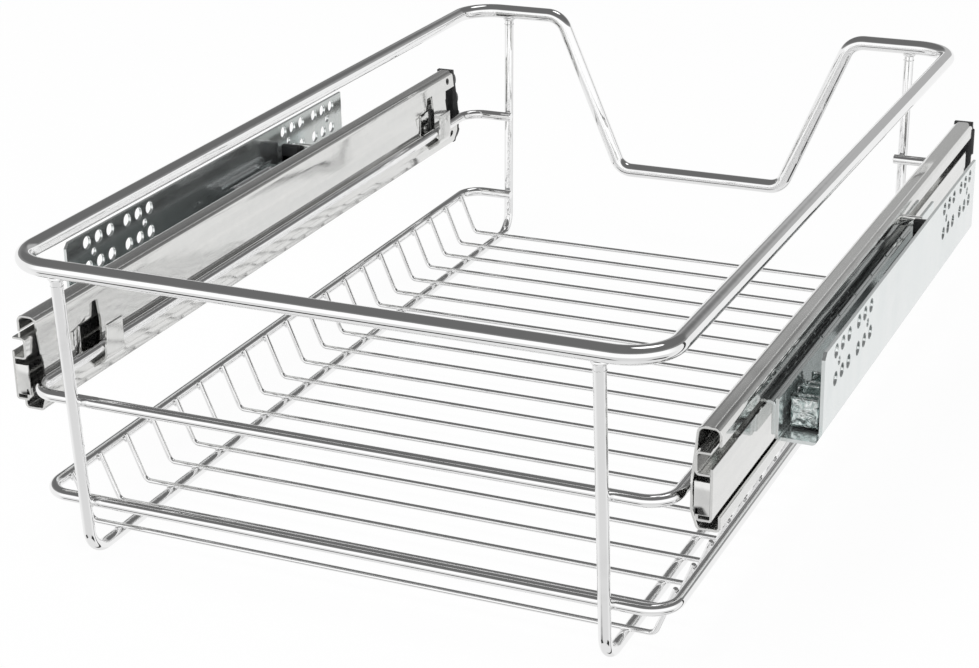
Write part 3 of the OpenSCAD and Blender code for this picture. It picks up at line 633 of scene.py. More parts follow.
def coil_tree():
    """A helical spring along Z."""
    g = GeometryTree("spring_turns", {
        "Turns": "Float", "Coil Radius": "Float", "Length": "Float", "Wire Radius": "Float"})
    helix = g.add("GeometryNodeCurveSpiral", None, {
        "Resolution": 20, "Rotations": g["Turns"], "Start Radius": g["Coil Radius"],
        "End Radius": g["Coil Radius"], "Height": g["Length"]})
    return g.close(g.add("GeometryNodeCurveToMesh", None, {
        "Curve": helix, "Profile Curve": g.circle(8, g["Wire Radius"]), "Fill Caps": True}))


def crumple_tree():
    """Finely divided skin sunk unevenly below the incoming shape."""
    g = GeometryTree("crumpled_skin", {"Levels": "Int", "Depth": "Float", "Grain": "Float"})
    fine = g.add("GeometryNodeSubdivideMesh", None, {"Mesh": g["Geometry"], "Level": g["Levels"]})
    return g.close(g.pushed_out(fine, g.hollows(2.0, 1.5) * g["Depth"]))


WIRE, ROW, BEADS = wire_tree(), row_tree(), bead_tree()
HOLE_RIMS, COIL, CRUMPLED = rim_tree(), coil_tree(), crumple_tree()


def points_object(name, places, attribute, kind, values, edges=()):
    """Object of points, placed in millimetres, that carry one attribute for a tree to work on."""
    mesh = bpy.data.meshes.new(name)
    mesh.from_pydata([tuple(c * MM for c in p) for p in places], edges, [])
    layer = mesh.attributes.new(attribute, kind, "POINT")
    for datum, value in zip(layer.data, values):
        if kind == "FLOAT_VECTOR":
            datum.vector = [v * MM for v in value]
        else:
            datum.value = value * MM
    return in_scene(name, mesh)


def wire(name, path, d, sides, closed=False, chamfer=0.35):
    """Round wire along a centre line in millimetres, its cut ends lightly chamfered."""
    places, radii = [p for p, _ in path], [d / 2] * len(path)
    if not closed:
        (first, out), (last, away) = path[0], path[-1]
        places = [first, first + out * chamfer] + places[1:-1] + [last - away * chamfer, last]
        radii = [d / 2 - chamfer, d / 2] + radii[1:-1] + [d / 2, d / 2 - chamfer]
    count = len(places)
    edges = [(i, (i + 1) % count) for i in range(count if closed else count - 1)]
    line = points_object(name, places, "wire_radius", "FLOAT", radii, edges)
    return WIRE.grow(line, CHROME, Sides=sides)


# --- basket ---

def basket_wires():
    top_z, low_z = RIM_Z, RIM_Z - DIP_DEPTH
    rim = rounded_path(
        [(-RIM_X, -RIM_Y, top_z), (RIM_X, -RIM_Y, top_z), (RIM_X, RIM_Y, top_z), (DIP_TOP_X, RIM_Y, top_z),
         (DIP_BOTTOM_X, RIM_Y, low_z), (-DIP_BOTTOM_X, RIM_Y, low_z), (-DIP_TOP_X, RIM_Y, top_z),
         (-RIM_X, RIM_Y, top_z)],
        [RIM_CORNER_R] * 3 + [DIP_TOP_R, DIP_BOTTOM_R, DIP_BOTTOM_R, DIP_TOP_R, RIM_CORNER_R],
        closed=True)
    finished(wire("rim", rim, RIM_D, 40, closed=True), "basket", CHROME, "rim_wire")

    for side, sign in SIDES.items():
        x, y = sign * LEG_X, RIM_Y - LEG_LEAN
        leg = rounded_path(
            [(x, -RIM_Y, RIM_Z), (x, -y, LEG_BASE_Z), (x, y, LEG_BASE_Z), (x, RIM_Y, RIM_Z)],
            [0, LEG_BEND_R, LEG_BEND_R, 0])
        finished(wire(f"{side}_leg", leg, FRAME_D, 32), "basket", CHROME, f"{side}_leg_wire")

    for node, y, z in (("middle_rail", MIDDLE_RAIL_Y, MIDDLE_RAIL_Z),
                       ("lower_rail", LOWER_RAIL_Y, LOWER_RAIL_Z)):
        rail = rounded_path(
            [(-RAIL_END_X, y, z), (-RAIL_X, y, z), (-RAIL_X, -y, z),
             (RAIL_X, -y, z), (RAIL_X, y, z), (RAIL_END_X, y, z)],
            [0] + [RAIL_CORNER_R] * 4 + [0])
        finished(wire(f"{node}_wire", rail, FRAME_D, 32), "basket", CHROME, node)

    floor_line = rounded_path(
        [(-FLOOR_TIP_X, 0, FLOOR_TIP_Z), (-FLOOR_BEND_X, 0, FLOOR_Z),
         (FLOOR_BEND_X, 0, FLOOR_Z), (FLOOR_TIP_X, 0, FLOOR_TIP_Z)],
        [0, FLOOR_BEND_R, FLOOR_BEND_R, 0], step=math.radians(6))
    floor_wires = wire("floor_wires", floor_line, FLOOR_D, 20, chamfer=0.25)
    ROW.grow(floor_wires, CHROME, Count=FLOOR_COUNT, Start=(0, FLOOR_REAR_Y * MM, 0),
             Step=(0, FLOOR_PITCH * MM, 0))
    nodes = [f"floor_wire_{i:02d}" for i in range(1, FLOOR_COUNT + 1)]
    finished(floor_wires, "basket", CHROME, *nodes)


def weld_beads():
    """Small fillets where wires cross: floor wires on legs and lower rail, legs on rails and rim."""
    slope = LEG_LEAN / (RIM_Z - LEG_BASE_Z)

    def leg_y(z):
        return RIM_Y - (RIM_Z - z) * slope

    # Where the turned-up ends of the floor wires pass the lower rail
    run = (LOWER_RAIL_Z - 0.6 - FLOOR_Z) / (FLOOR_TIP_Z - FLOOR_Z)
    tip_x = FLOOR_BEND_X + run * (FLOOR_TIP_X - FLOOR_BEND_X) + FLOOR_D / 2
    beads = []
    for i in range(FLOOR_COUNT):
        y = FLOOR_REAR_Y + i * FLOOR_PITCH
        for sx in (-1, 1):
            beads.append(((sx * LEG_X, y, FLOOR_Z - FLOOR_D / 2), LEG_BEAD))
            beads.append(((sx * tip_x, y, LOWER_RAIL_Z - 0.5), TIP_BEAD))
    for sx in (-1, 1):
        for sy in (-1, 1):
            for y, z in ((MIDDLE_RAIL_Y, MIDDLE_RAIL_Z), (LOWER_RAIL_Y, LOWER_RAIL_Z)):
                beads.append(((sx * LEG_X, sy * (y + leg_y(z)) / 2, z), RAIL_BEAD))
            for below, size in RIM_BEADS:
                z = RIM_Z - RIM_D / 2 - below
                beads.append(((sx * LEG_X, sy * leg_y(z), z), size))
    places, sizes = zip(*beads)
    obj = points_object("weld_beads", places, "bead_size", "FLOAT_VECTOR", sizes)
    BEADS.grow(obj, CHROME, Unevenness=0.0005, Grain=900.0)
    finished(obj, "basket", CHROME, sharp=80.0)


# --- slide members ---

def rail_hook(y):
    """Tongue under and up the inner side of the middle rail, ending in a fin above it."""
    inner_x = RAIL_X - HOOK_R
    line = [(DRAWER_WEB_X + 0.3, HOOK_ROOT_Z), (inner_x, MIDDLE_RAIL_Z - HOOK_DROP), (inner_x, HOOK_TIP_Z)]
    hook = sheet(line, SLIDE_T, y - HOOK_W / 2, y + HOOK_W / 2, HOOK_R)
    for v in hook.verts:
        fin = max(0.0, v.co.z - MIDDLE_RAIL_Z) / (HOOK_TIP_Z - MIDDLE_RAIL_Z)
        if v.co.y < y:
            v.co.y += HOOK_TAPER * fin
    return hook


def pressed_ramp(y):
    """Strip of the web beside a hook's window, pressed in towards the middle channel."""
    half, edge = 0.45, 0.2
    ramp = rounded_block((DRAWER_WEB_X - half, y + RAMP_Y0, MIDDLE_RAIL_Z + RAMP_Z0),
                         (DRAWER_WEB_X + half, y + RAMP_Y1, MIDDLE_RAIL_Z + RAMP_Z1), edge)
    for v in ramp.verts:
        v.co.x += max(0.0, v.co.y - (y + RAMP_Y0 + edge)) * RAMP_SLOPE
    return ramp


def web_x(z):
    """Inward face of the drawer member's web at a height."""
    upper = (z - (SLIDE_TOP_Z - LEAN_H)) / (LEAN_H - SLIDE_T / 2)
    lower = (SLIDE_LOW_Z + SHOULDER_H - z) / (SHOULDER_H - SLIDE_T / 2)
    return SLIDE_IN_X + (DRAWER_BACK_X - DRAWER_WEB_X) * min(1.0, max(0.0, upper, lower))


def drawer_member(side):
    section = [
        (DRAWER_LIP_X, SLIDE_LOW_Z + LOWER_LIP_H), (DRAWER_LIP_X, SLIDE_LOW_Z + SLIDE_T / 2),
        (DRAWER_BACK_X, SLIDE_LOW_Z + SLIDE_T / 2), (DRAWER_WEB_X, SLIDE_LOW_Z + SHOULDER_H),
        (DRAWER_WEB_X, SLIDE_TOP_Z - LEAN_H), (DRAWER_BACK_X, SLIDE_TOP_Z - SLIDE_T / 2),
        (DRAWER_LIP_X, SLIDE_TOP_Z - SLIDE_T / 2), (DRAWER_LIP_X, SLIDE_TOP_Z - UPPER_LIP_H)]
    folds = [FOLD_R] * 5 + [TOP_FOLD_R] * 2 + [FOLD_R]
    channel = sheet(section, SLIDE_T, DRAWER_REAR_Y, DRAWER_FRONT_Y, folds)
    body = raw_object(side, "drawer_channel", channel)
    cutters = []
    for y in HOOK_YS:
        window = [(y + py, MIDDLE_RAIL_Z + pz) for py, pz in HOOK_WINDOW]
        cutters.append(prism(window, WEB_CUT_X0, WEB_CUT_X1))
    cutters.append(plain_block((WEB_CUT_X0, DRAWER_FRONT_Y - NOTCH_L, NOTCH_Z[0]),
                               (WEB_CUT_X1, DRAWER_FRONT_Y + 1, NOTCH_Z[1])))
    cutters += [pin((END_HOLE_X, DRAWER_FRONT_Y - END_HOLE_BACK, z), END_HOLE_D, WEB_CUT_X1 - WEB_CUT_X0)
                for z in END_HOLE_ZS]
    combine(body, side, joined(*cutters))
    # Tab that drives the soft-close catch, folded out of the upper lip
    tab = rounded_block((DRAWER_LIP_X - 0.2, TAB_REAR_Y, TAB_LOW_Z),
                        (TAB_OUT_X, TAB_REAR_Y + TAB_T, TAB_HIGH_Z), 0.6)
    hooks, ramps = [rail_hook(y) for y in HOOK_YS], [pressed_ramp(y) for y in HOOK_YS]
    fittings = raw_object(side, "fittings", joined(*hooks, *ramps, tab))
    whole = bmesh.new()
    whole.from_mesh(body.data)
    whole.from_mesh(fittings.data)
    whole.to_mesh(body.data)
    whole.free()
    bpy.data.objects.remove(fittings)
    finished(body, "basket", SLIDE_ZINC, f"{side}_drawer_member", sharp=28.0)


def intermediate_member(side):
    upper = sheet([(LEDGE_OUT_X, INTER_TOP_Z), (INTER_WEB_X, INTER_TOP_Z), (INTER_WEB_X, LEDGE_Z),
                   (INTER_FACE_X - 0.3, LEDGE_Z)], SLIDE_T, INTER_REAR_Y, INTER_FRONT_Y)
    back_x = INTER_WEB_X + SLIDE_T / 2
    box = sheet([(INTER_FACE_X, FACE_TOP_Z), (INTER_FACE_X, INTER_LOW_Z), (back_x, INTER_LOW_Z),
                 (back_x, INTER_LOW_Z + 5)], SLIDE_T, INTER_REAR_Y, INTER_FRONT_Y, BOX_FOLD_R)
    flap = rounded_block((INTER_WEB_X - SLIDE_T / 2, INTER_REAR_Y, INTER_LOW_Z + 2),
                         (INTER_FACE_X, INTER_REAR_Y + SLIDE_T, LEDGE_Z - 3), 0.35)
    piece(side, "middle_channel", joined(upper, box, flap), f"{side}_intermediate", SLIDE_ZINC,
          "intermediate_member", sharp=28.0)


def end_cap(side):
    """Scalloped plate that closes the front end and follows the web, two bumpers and two plugs."""
    front, middle_z = DRAWER_FRONT_Y, (SLIDE_LOW_Z + SLIDE_TOP_Z) / 2
    reach = math.acos(CAP_T / BUMP_R)
    outline = [(front, SLIDE_LOW_Z), (front + CAP_T, SLIDE_LOW_Z)]
    for i in range(BUMP_COUNT):
        bump_z = SLIDE_LOW_Z + FIRST_BUMP + i * BUMP_PITCH
        outline += [(front + BUMP_R * math.cos(t), bump_z + BUMP_R * math.sin(t))
                    for t in (reach * (k / 5 - 1) for k in range(11))]
    outline += [(front + CAP_T, SLIDE_TOP_Z), (front, SLIDE_TOP_Z)]
    face = prism(outline, SLIDE_IN_X, DRAWER_OUT_X)
    ends = [e for e in face.edges if abs(e.verts[0].co.x - e.verts[1].co.x) < 0.01]
    bevel(face, ends, 0.35)
    for v in face.verts:
        v.co.x += (web_x(v.co.z) - SLIDE_IN_X) * (DRAWER_OUT_X - v.co.x) / (DRAWER_OUT_X - SLIDE_IN_X)
    bmesh.ops.triangulate(face, faces=[f for f in face.faces if len(f.verts) > 4])
    bumper = [(-7.5, 0), (-7.5, 1.2), (-6.9, 2.0), (6.9, 2.0), (7.5, 1.2), (7.5, 0)]
    bumpers = [turned(bumper, UP, (DRAWER_OUT_X - 1, front + 2, middle_z + dz), 20)
               for dz in (-BUMP_PITCH, BUMP_PITCH)]
    plug_x0, plug_x1 = DRAWER_BACK_X + SLIDE_T + 0.3, DRAWER_LIP_X - SLIDE_T
    low_z, high_z = SLIDE_LOW_Z + SLIDE_T, SLIDE_TOP_Z - SLIDE_T
    plugs = [rounded_block((plug_x0, front - 4, z0), (plug_x1, front + 1, z1), 0.6)
             for z0, z1 in ((low_z + 0.1, low_z + 5), (high_z - 5, high_z - 0.1))]
    piece(side, "cap", joined(face, *bumpers, *plugs), "basket", BLACK, "end_cap")


def slide_cages(side):
    half_w, half_h = SLIDE_CAGE_W / 2, SLIDE_CAGE_H / 2
    rear, first = SLIDE_CAGE_REAR_Y, SLIDE_CAGE_REAR_Y + SLIDE_CAGE_END
    front = rear + (SLIDE_BALL_COUNT - 1) * SLIDE_BALL_PITCH + 2 * SLIDE_CAGE_END
    for name, z in (("upper", UPPER_BALL_Z), ("lower", LOWER_BALL_Z)):
        block = rounded_block((SLIDE_BALL_X - half_w, rear, z - half_h),
                              (SLIDE_BALL_X + half_w, front, z + half_h), 0.7)
        pockets = [pin((SLIDE_BALL_X, first + i * SLIDE_BALL_PITCH, z),
                       SLIDE_BALL_D + BALL_PLAY, 9, 24, UP) for i in range(SLIDE_BALL_COUNT)]
        # Slots that lighten the strip between the pockets
        for i in range(SLIDE_BALL_COUNT - 1):
            y = first + (i + 0.5) * SLIDE_BALL_PITCH
            pockets.append(plain_block((SLIDE_BALL_X - CAGE_SLOT_W / 2, y - CAGE_SLOT_L / 2, z - 5),
                                       (SLIDE_BALL_X + CAGE_SLOT_W / 2, y + CAGE_SLOT_L / 2, z + 5)))
        piece(side, f"{name}_ball_strip", block, f"{side}_slide_cage_unit", BLACK, f"{name}_cage",
              pockets)
    ball_rows(side, "slide", SLIDE_BALL_D, SLIDE_BALL_X, first, (UPPER_BALL_Z, LOWER_BALL_Z),
              SLIDE_BALL_COUNT, SLIDE_BALL_PITCH)


def ball_rows(side, word, d, x, first, heights, count, pitch):
    """Rows of balls, one above the other, made from one ball."""
    balls = bmesh.new()
    for z in heights:
        bmesh.ops.create_uvsphere(balls, u_segments=20, v_segments=12, radius=d / 2,
                                  matrix=Matrix.Translation((x, 0, z)))
    obj = raw_object(side, f"{word}_ball_rows", balls)
    ROW.grow(obj, STEEL, Count=count, Start=(0, first * MM, 0), Step=(0, pitch * MM, 0))
    finished(obj, f"{side}_{word}_cage_unit", STEEL, f"{side}_{word}_balls", sharp=80.0)


def rail_cage(side):
    back_x = INTER_WEB_X + SLIDE_T / 2 + RAIL_CAGE_GAP
    face_x = INTER_FACE_X - SLIDE_T / 2 - RAIL_CAGE_GAP
    low_z, high_z = RAIL_BALL_ZS
    y0, y1 = RAIL_CAGE_REAR_Y, RAIL_CAGE_REAR_Y + RAIL_BALL_COUNT * RAIL_BALL_PITCH
    t = RAIL_CAGE_T
    web = rounded_block((back_x, y0, low_z - t), (back_x + t, y1, high_z + t), 0.25)
    cage = raw_object(side, "rail_ball_strip", web)
    for z in RAIL_BALL_ZS:
        combine(cage, side, rounded_block((back_x, y0, z - t), (face_x, y1, z + t), 0.4), "UNION")
    pockets = [pin((RAIL_BALL_X, y0 + RAIL_BALL_PITCH * (0.5 + i), (low_z + high_z) / 2),
                   RAIL_BALL_D + BALL_PLAY, 14, 20, UP) for i in range(RAIL_BALL_COUNT)]
    combine(cage, side, joined(*pockets))
    finished(cage, f"{side}_rail_cage_unit", BLACK, f"{side}_rail_cage")
    ball_rows(side, "rail", RAIL_BALL_D, RAIL_BALL_X, y0 + RAIL_BALL_PITCH / 2, RAIL_BALL_ZS,
              RAIL_BALL_COUNT, RAIL_BALL_PITCH)


# --- bracket and cabinet rail ---

def hole_places():
    """(y, z, diameter) of every fixing hole in the plate."""
    places = []
    for start in CLUSTER_YS:
        places += [(start + y, z, HOLE_D) for y in HOLE_YS for z in ROW_ZS]
        places += [(start + y, SMALL_ROW_Z, SMALL_HOLE_D) for y in SMALL_HOLE_YS]
    return places


def rivet_holes(x):
    """Cutters for the rivets through a sheet at x."""
    return [pin((x, RIVET_REAR_Y + RIVET_PITCH * i, RIVET_Z), RIVET_HOLE_D, PUNCH_L, 16)
            for i in range(RIVET_COUNT)]


def bracket(side):
    section = [(UPRIGHT_X, UPRIGHT_TOP_Z), (UPRIGHT_X, FLANGE_Z),
               (PLATE_X, FLANGE_Z), (PLATE_X, PLATE_TOP_Z)]
    body = sheet(section, BRACKET_T, UPRIGHT_REAR_Y, PLATE_FRONT_Y, edge=BRACKET_EDGE)
    rear, front = UPRIGHT_REAR_Y - 1, PLATE_FRONT_Y + 1
    # The plate's and the flange's rear ends and the upright's front end, each cut back to its own length
    plate_cut = plain_block((PLATE_X - 2.75, rear, FLANGE_Z + BRACKET_T / 2),
                            (PLATE_X + 1.75, PLATE_REAR_Y, PLATE_TOP_Z + 1))
    flange_cut = plain_block((UPRIGHT_X + 1.5, rear - 0.5, FLANGE_Z - 2),
                             (PLATE_X + 2.25, FLANGE_REAR_Y, FLANGE_Z + 2.3))
    upright_cut = plain_block((UPRIGHT_X - 1.75, UPRIGHT_FRONT_Y, FLANGE_Z + 2.25),
                              (UPRIGHT_X + 3.75, front, PLATE_TOP_Z))
    corner = plain_block((-5, -2, -2), (5, 2, 2))
    turn = Matrix.Rotation(math.pi / 4, 3, "X")
    bmesh.ops.rotate(corner, cent=(0, 0, 0), matrix=turn, verts=corner.verts)
    bmesh.ops.translate(corner, vec=(PLATE_X, PLATE_REAR_Y, PLATE_TOP_Z), verts=corner.verts)
    holes = [pin((PLATE_X, y, z), d, PUNCH_L) for y, z, d in hole_places()]
    plate = raw_object(side, "pierced_bracket", body)
    # One cut after the other, because some of the cutters overlap
    for cutter in (plate_cut, flange_cut, upright_cut, corner, joined(*holes, *rivet_holes(UPRIGHT_X))):
        combine(plate, side, cutter)
    finished(plate, "cabinet_side", SHEET_ZINC, f"{side}_cabinet_bracket", sharp=28.0)

    # Turned-over rims just inside both faces of each hole
    inset = BRACKET_T / 2 - HOLE_RIM_R
    rims = [((SIDES[side] * x, y, z), d / 2) for y, z, d in hole_places()
            for x in (PLATE_X - inset, PLATE_X + inset)]
    places, radii = zip(*rims)
    obj = points_object(f"{side}_hole_rims", places, "hole_radius", "FLOAT", radii)
    HOLE_RIMS.grow(obj, SHEET_ZINC, Edge=HOLE_RIM_R * MM, Sides=28)
    finished(obj, "cabinet_side", SHEET_ZINC, sharp=80.0)


def cabinet_rail(side):
    x = UPRIGHT_X - BRACKET_T
    rail = sheet([(x, RAIL_FLANGE_LOW_Z), (x, TONGUE_Z), (TONGUE_IN_X, TONGUE_Z)], BRACKET_T,
                 UPRIGHT_REAR_Y, RAIL_FRONT_Y, edge=BRACKET_EDGE)
    cutters = [pin((x - BRACKET_T, TONGUE_HOLE_REAR_Y + i * TONGUE_HOLE_PITCH, TONGUE_Z),
                   TONGUE_HOLE_D, PUNCH_L, 20, UP) for i in range(TONGUE_HOLE_COUNT)]
    piece(side, "cabinet_runner", rail, "cabinet_side", SHEET_ZINC, "cabinet_rail",
          cutters + rivet_holes(x), 28.0)


def rivets(side):
    """Domed rivets, one turned and the rest copied along the upright."""
    inner_face = UPRIGHT_X - BRACKET_T * 1.5
    r, h, shank = RIVET_HEAD_D / 2, RIVET_HEAD_T, RIVET_SHANK_R
    depth = 2 * BRACKET_T
    dome = [(-h, 0), (-h * 0.96, r * 0.45), (-h * 0.72, r * 0.8), (-h * 0.25, r), (0, r), (0, shank),
            (depth, shank), (depth, r), (depth + h * 0.25, r), (depth + h * 0.72, r * 0.8),
            (depth + h * 0.96, r * 0.45), (depth + h, 0)]
    obj = raw_object(side, "rivet_row", turned(dome, ACROSS, (inner_face, 0, RIVET_Z), 24))
    ROW.grow(obj, STEEL, Count=RIVET_COUNT, Start=(0, RIVET_REAR_Y * MM, 0), Step=(0, RIVET_PITCH * MM, 0))
    finished(obj, "cabinet_side", STEEL, f"{side}_bracket_rivets")


# --- soft-close unit ---

def buffer_block(side):
    """Ribbed block at the rear of the channel, its skin crumpled."""
    x0, x1, rear = HOUSING_X, HOUSING_X + HOUSING_W, BUFFER_REAR_Y
    top = CHANNEL_FLOOR_Z + BUFFER_BASE_H
    blocks = [rounded_block((x0, rear, UNIT_LOW_Z), (x1, rear + BUFFER_L, top), 1.5)]
    for i in range(BUFFER_RIBS):
        y = rear + i * (BUFFER_L / BUFFER_RIBS)
        top = CHANNEL_FLOOR_Z + BUFFER_RIB_H - BUFFER_RIB_STEP * (i % 2)
        blocks.append(rounded_block((x0, y, UNIT_LOW_Z), (x1, y + BUFFER_RIB_L, top), 1.4))
    obj = raw_object(side, "ribbed_buffer", joined(*blocks))
    CRUMPLED.grow(obj, CAST_ZINC, Levels=4, Depth=-2.2 * MM, Grain=190.0)
    finished(obj, "cabinet_side", CAST_ZINC, f"{side}_channel_buffer", sharp=60.0)


def housing(side):
    x0, x1, y0, y1 = HOUSING_X, HOUSING_X + HOUSING_W, HOUSING_REAR_Y, HOUSING_FRONT_Y
    wall = HOUSING_WALL
    trough = rounded_block((x0, y0, UNIT_LOW_Z), (x1, y1, HOUSING_FLOOR_Z + GUIDE_H), 0.5, 3)
    rear_wall = rounded_block((x0, y0, UNIT_LOW_Z), (x1, y0 + wall, HOUSING_TOP_Z), 0.5, 3)
    hollow = plain_block((x0 + wall, y0 + wall, HOUSING_FLOOR_Z),
                         (x1 - wall, y1 - wall, HOUSING_TOP_Z + 1))
    piece(side, "soft_close_trough", joined(trough, rear_wall), "cabinet_side", CAST_ZINC,
          "soft_close_housing", [hollow])


def damper(side):
    """Round cylinder with a groove near each end, and its rod."""
    y0, length = HOUSING_REAR_Y + HOUSING_WALL, DAMPER_L
    r, bore, back = DAMPER_D / 2, ROD_D / 2 + 0.15, 1.5
    shell = [(0, 0), (0, r - 0.4), (0.4, r)]
    for y in (3.0, length - 3.2):
        shell += [(y, r), (y + 0.3, r - 0.35), (y + 1.2, r - 0.35), (y + 1.5, r)]
    shell += [(length - 0.4, r), (length, r - 0.4), (length, bore), (back, bore), (back, 0)]
    tube = turned(shell, OUTWARD, (DAMPER_X, y0, DRIVE_Z), 28)
    piece(side, "damper_tube", tube, "cabinet_side", STEEL, "soft_close_damper")
    rod_y, rod_r = y0 + 3.0, ROD_D / 2
    reach = CATCH_REAR_Y - rod_y
    line = [(0, 0), (0, rod_r - 0.15), (0.15, rod_r),
            (reach - 0.1, rod_r), (reach, rod_r - 0.1), (reach, 0)]
    rod = turned(line, OUTWARD, (DAMPER_X, rod_y, DRIVE_Z), 20)
    piece(side, "rod", rod, f"{side}_catch", STEEL, "damper_rod")


def spring(side):
    seed = bmesh.new()
    seed.verts.new((0, 0, 0))
    obj = raw_object(side, "closing_coil", seed)
    r = SPRING_WIRE_D / 2
    COIL.grow(obj, STEEL, Turns=float(SPRING_TURNS), Coil_Radius=(SPRING_D / 2 - r) * MM,
              Length=(SPRING_L - SPRING_WIRE_D) * MM, Wire_Radius=r * MM)
    rear = Vector((SIDES[side] * SPRING_X, HOUSING_REAR_Y + HOUSING_WALL + r, DRIVE_Z)) * MM
    obj.data.transform(Matrix.Translation(rear) @ Matrix.Rotation(-math.pi / 2, 4, "X"))
    finished(obj, "cabinet_side", STEEL, f"{side}_soft_close_spring", sharp=80.0)


def catch(side):
    y0, low = CATCH_REAR_Y, HOUSING_FLOOR_Z + 0.1
    x0 = HOUSING_X + HOUSING_WALL + CATCH_PLAY
    x1 = HOUSING_X + HOUSING_W - HOUSING_WALL - CATCH_PLAY
    sled = rounded_block((x0, y0, low), (x1, y0 + CATCH_L, TAB_LOW_Z - 0.5), 0.7, 3)
    nose = rounded_block((x0, y0, low + 1), (x1, y0 + NOSE_L, TAB_HIGH_Z), 0.8, 3)
    piece(side, "catch_slider", joined(sled, nose), f"{side}_catch", BLACK, "soft_close_catch")


basket_wires()
weld_beads()
for side in SIDES:
    for build in (drawer_member, intermediate_member, end_cap, slide_cages, rail_cage, bracket,
                  cabinet_rail, rivets, buffer_block, housing, damper, spring, catch):
        build(side)


# --- studio ---

VIEW_AZIMUTH, VIEW_ELEVATION, VIEW_ROLL = (math.radians(a) for a in (24.5476, 22.1812, -1.1973))
CAMERA_PLACE = Vector((396.5, -936.6, 453.3)) * MM
FOCAL_PIXELS, IMAGE_WIDTH = 2172.5, 979


def make_camera():
    forward = Vector((-math.sin(VIEW_AZIMUTH) * math.cos(VIEW_ELEVATION),
                      math.cos(VIEW_AZIMUTH) * math.cos(VIEW_ELEVATION), -math.sin(VIEW_ELEVATION)))
    right = forward.cross(Vector((0, 0, 1))).normalized()
    up = right.cross(forward)
    c, s = math.cos(VIEW_ROLL), math.sin(VIEW_ROLL)
    right, up = right * c + up * s, up * c - right * s
    data = bpy.data.cameras.new("camera")
    data.sensor_width = 36.0
    data.lens = FOCAL_PIXELS / IMAGE_WIDTH * data.sensor_width
    data.clip_start, data.clip_end = 0.05, 60.0
    camera = in_scene("camera", data)
    turn = Matrix((right, up, -forward)).transposed().to_4x4()
    camera.matrix_world = Matrix.Translation(CAMERA_PLACE) @ turn
    bpy.context.scene.camera = camera


def make_floor():
    """Pale floor: white to the camera, with the object's soft shadow kept, and absent in reflections."""
    bm = bmesh.new()
    bmesh.ops.create_circle(bm, cap_ends=True, radius=4.0, segments=96)
    floor = in_scene("studio_floor", mesh_of("studio_floor", bm))
    floor.location.z = -0.0002
    f = Finish("pale_floor")
    seen = f.add("ShaderNodeLightPath", None, None, "Is Camera Ray")
    paint = f.add("ShaderNodeBsdfDiffuse", None, {"Color": grey(0.86)})
    glow = f.add("ShaderNodeEmission", None, {"Color": grey(1.0), "Strength": 1.05})
    mixed = f.add("ShaderNodeMixShader", None, {0: seen * 0.9, 1: paint, 2: glow})
    f.add("ShaderNodeOutputMaterial", None, {"Surface": mixed})
    floor.data.materials.append(f.owner)
    floor.visible_glossy = False


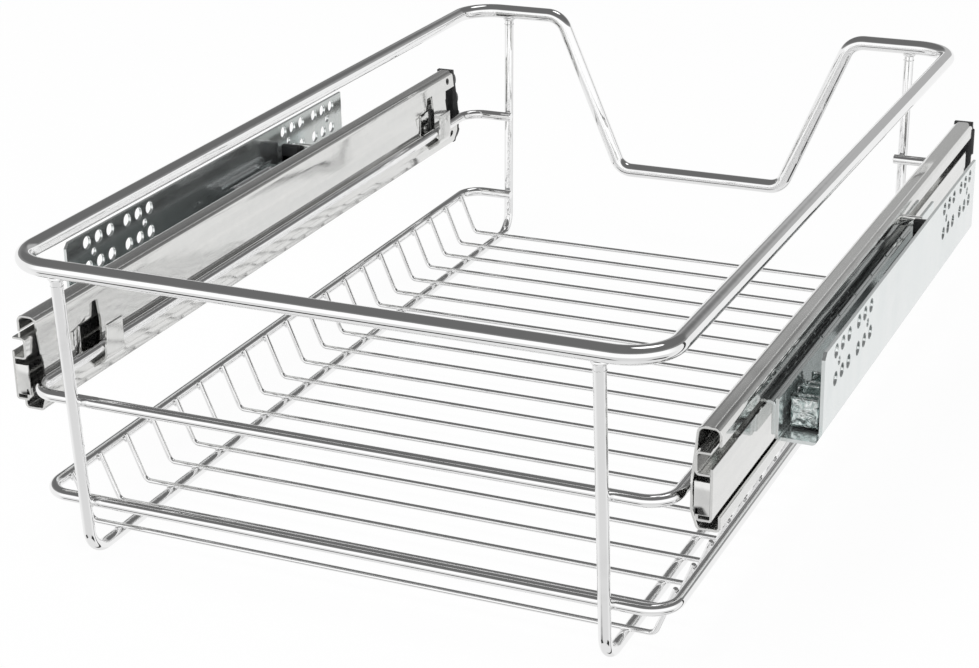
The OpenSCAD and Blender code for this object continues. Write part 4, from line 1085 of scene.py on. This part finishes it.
def make_world():
    """What the metal reflects; the camera itself sees plain white.

    Pale walls with a window behind the viewer, a darker table with a thin black edge, a black gap beside a
    door, and a dim ceiling with a lighter patch at the far end and one lamp."""
    world = bpy.data.worlds.new("studio")
    bpy.context.scene.world = world
    f = Finish("studio", world)
    away = f.add("ShaderNodeTexCoord", None, None, "Generated")

    def towards(direction):
        return f.add("ShaderNodeVectorMath", {"operation": "DOT_PRODUCT"}, {0: away, 1: direction}, "Value")

    lean, half_angle, door = math.radians(12), math.radians(72), math.radians(47)
    table_top, edge_middle = -math.sin(math.radians(47)), -math.sin(math.radians(42))
    sin_a, cos_a = math.sin(VIEW_AZIMUTH), math.cos(VIEW_AZIMUTH)
    height, rightwards, forwards = towards((0, 0, 1)), towards((1, 0, 0)), towards((0, 1, 0))
    behind_viewer = towards((sin_a, -cos_a, 0))
    zenith = towards((-sin_a * math.sin(lean), cos_a * math.sin(lean), math.cos(lean)))
    above = zenith - math.cos(half_angle)
    walls = f.between(grey(0.94), grey(0.76), ((behind_viewer + 0.1) * 1.5).clamped())
    window = ((behind_viewer + 0.05) * 2.2).clamped() * ((height + 0.26) * 14.0).clamped()
    table = ((table_top - height) * 40.0).clamped()
    table_edge = ((0.09 - abs(height - edge_middle)) * 30.0).clamped()
    table_edge = table_edge * ((0.26 - abs(behind_viewer - 0.36)) * 12.0).clamped()
    door_gap = ((0.07 - abs(towards((math.cos(door), -math.sin(door), 0)))) * 40.0).clamped()
    door_gap = door_gap * (towards((math.sin(door), math.cos(door), 0)) * 3.0).clamped()
    for level, share in ((1.12, window), (0.84, table), (0.02, table_edge), (0.03, door_gap)):
        walls = f.between(walls, grey(level), share)
    ceiling = f.between(grey(0.32), grey(0.155), (above * 4.0).clamped())
    far_end = ((rightwards + 0.42) * 8.0).clamped() * ((forwards - 0.8) * 10.0).clamped()
    ceiling = f.between(ceiling, grey(0.46), far_end * ((0.5 - height) * 8.0).clamped())
    walls = f.between(walls, ceiling, (above * 40.0).clamped())
    lamp = towards(Vector((0.1, 0.36, 0.93)).normalized())
    lamp = f.between(grey(0), grey(1.6), ((lamp - 0.975) * 200.0).clamped())
    room = f.add("ShaderNodeMix", {"data_type": "RGBA", "blend_type": "ADD"}, {
        0: 1.0, 6: walls, 7: lamp}, 2)
    seen = f.add("ShaderNodeLightPath", None, None, "Is Camera Ray")
    back = f.add("ShaderNodeBackground", None, {
        "Color": f.between(room, grey(1.0), seen), "Strength": 1.0})
    f.add("ShaderNodeOutputWorld", None, {"Surface": back})


def make_lamp():
    """One broad lamp above, for shape in the dark plastic and a soft shadow on the floor."""
    data = bpy.data.lights.new("softbox", "AREA")
    data.shape, data.size, data.size_y, data.energy = "RECTANGLE", 1.4, 1.0, 12.0
    lamp = in_scene("softbox", data)
    lamp.location = (-0.5, -0.4, 2.0)
    lamp.visible_glossy = False
    lamp.rotation_euler = (Vector((0, 0, 0.1)) - lamp.location).to_track_quat("-Z", "Y").to_euler()


make_camera()
make_floor()
make_world()
make_lamp()
bpy.context.scene.view_settings.view_transform = "Standard"
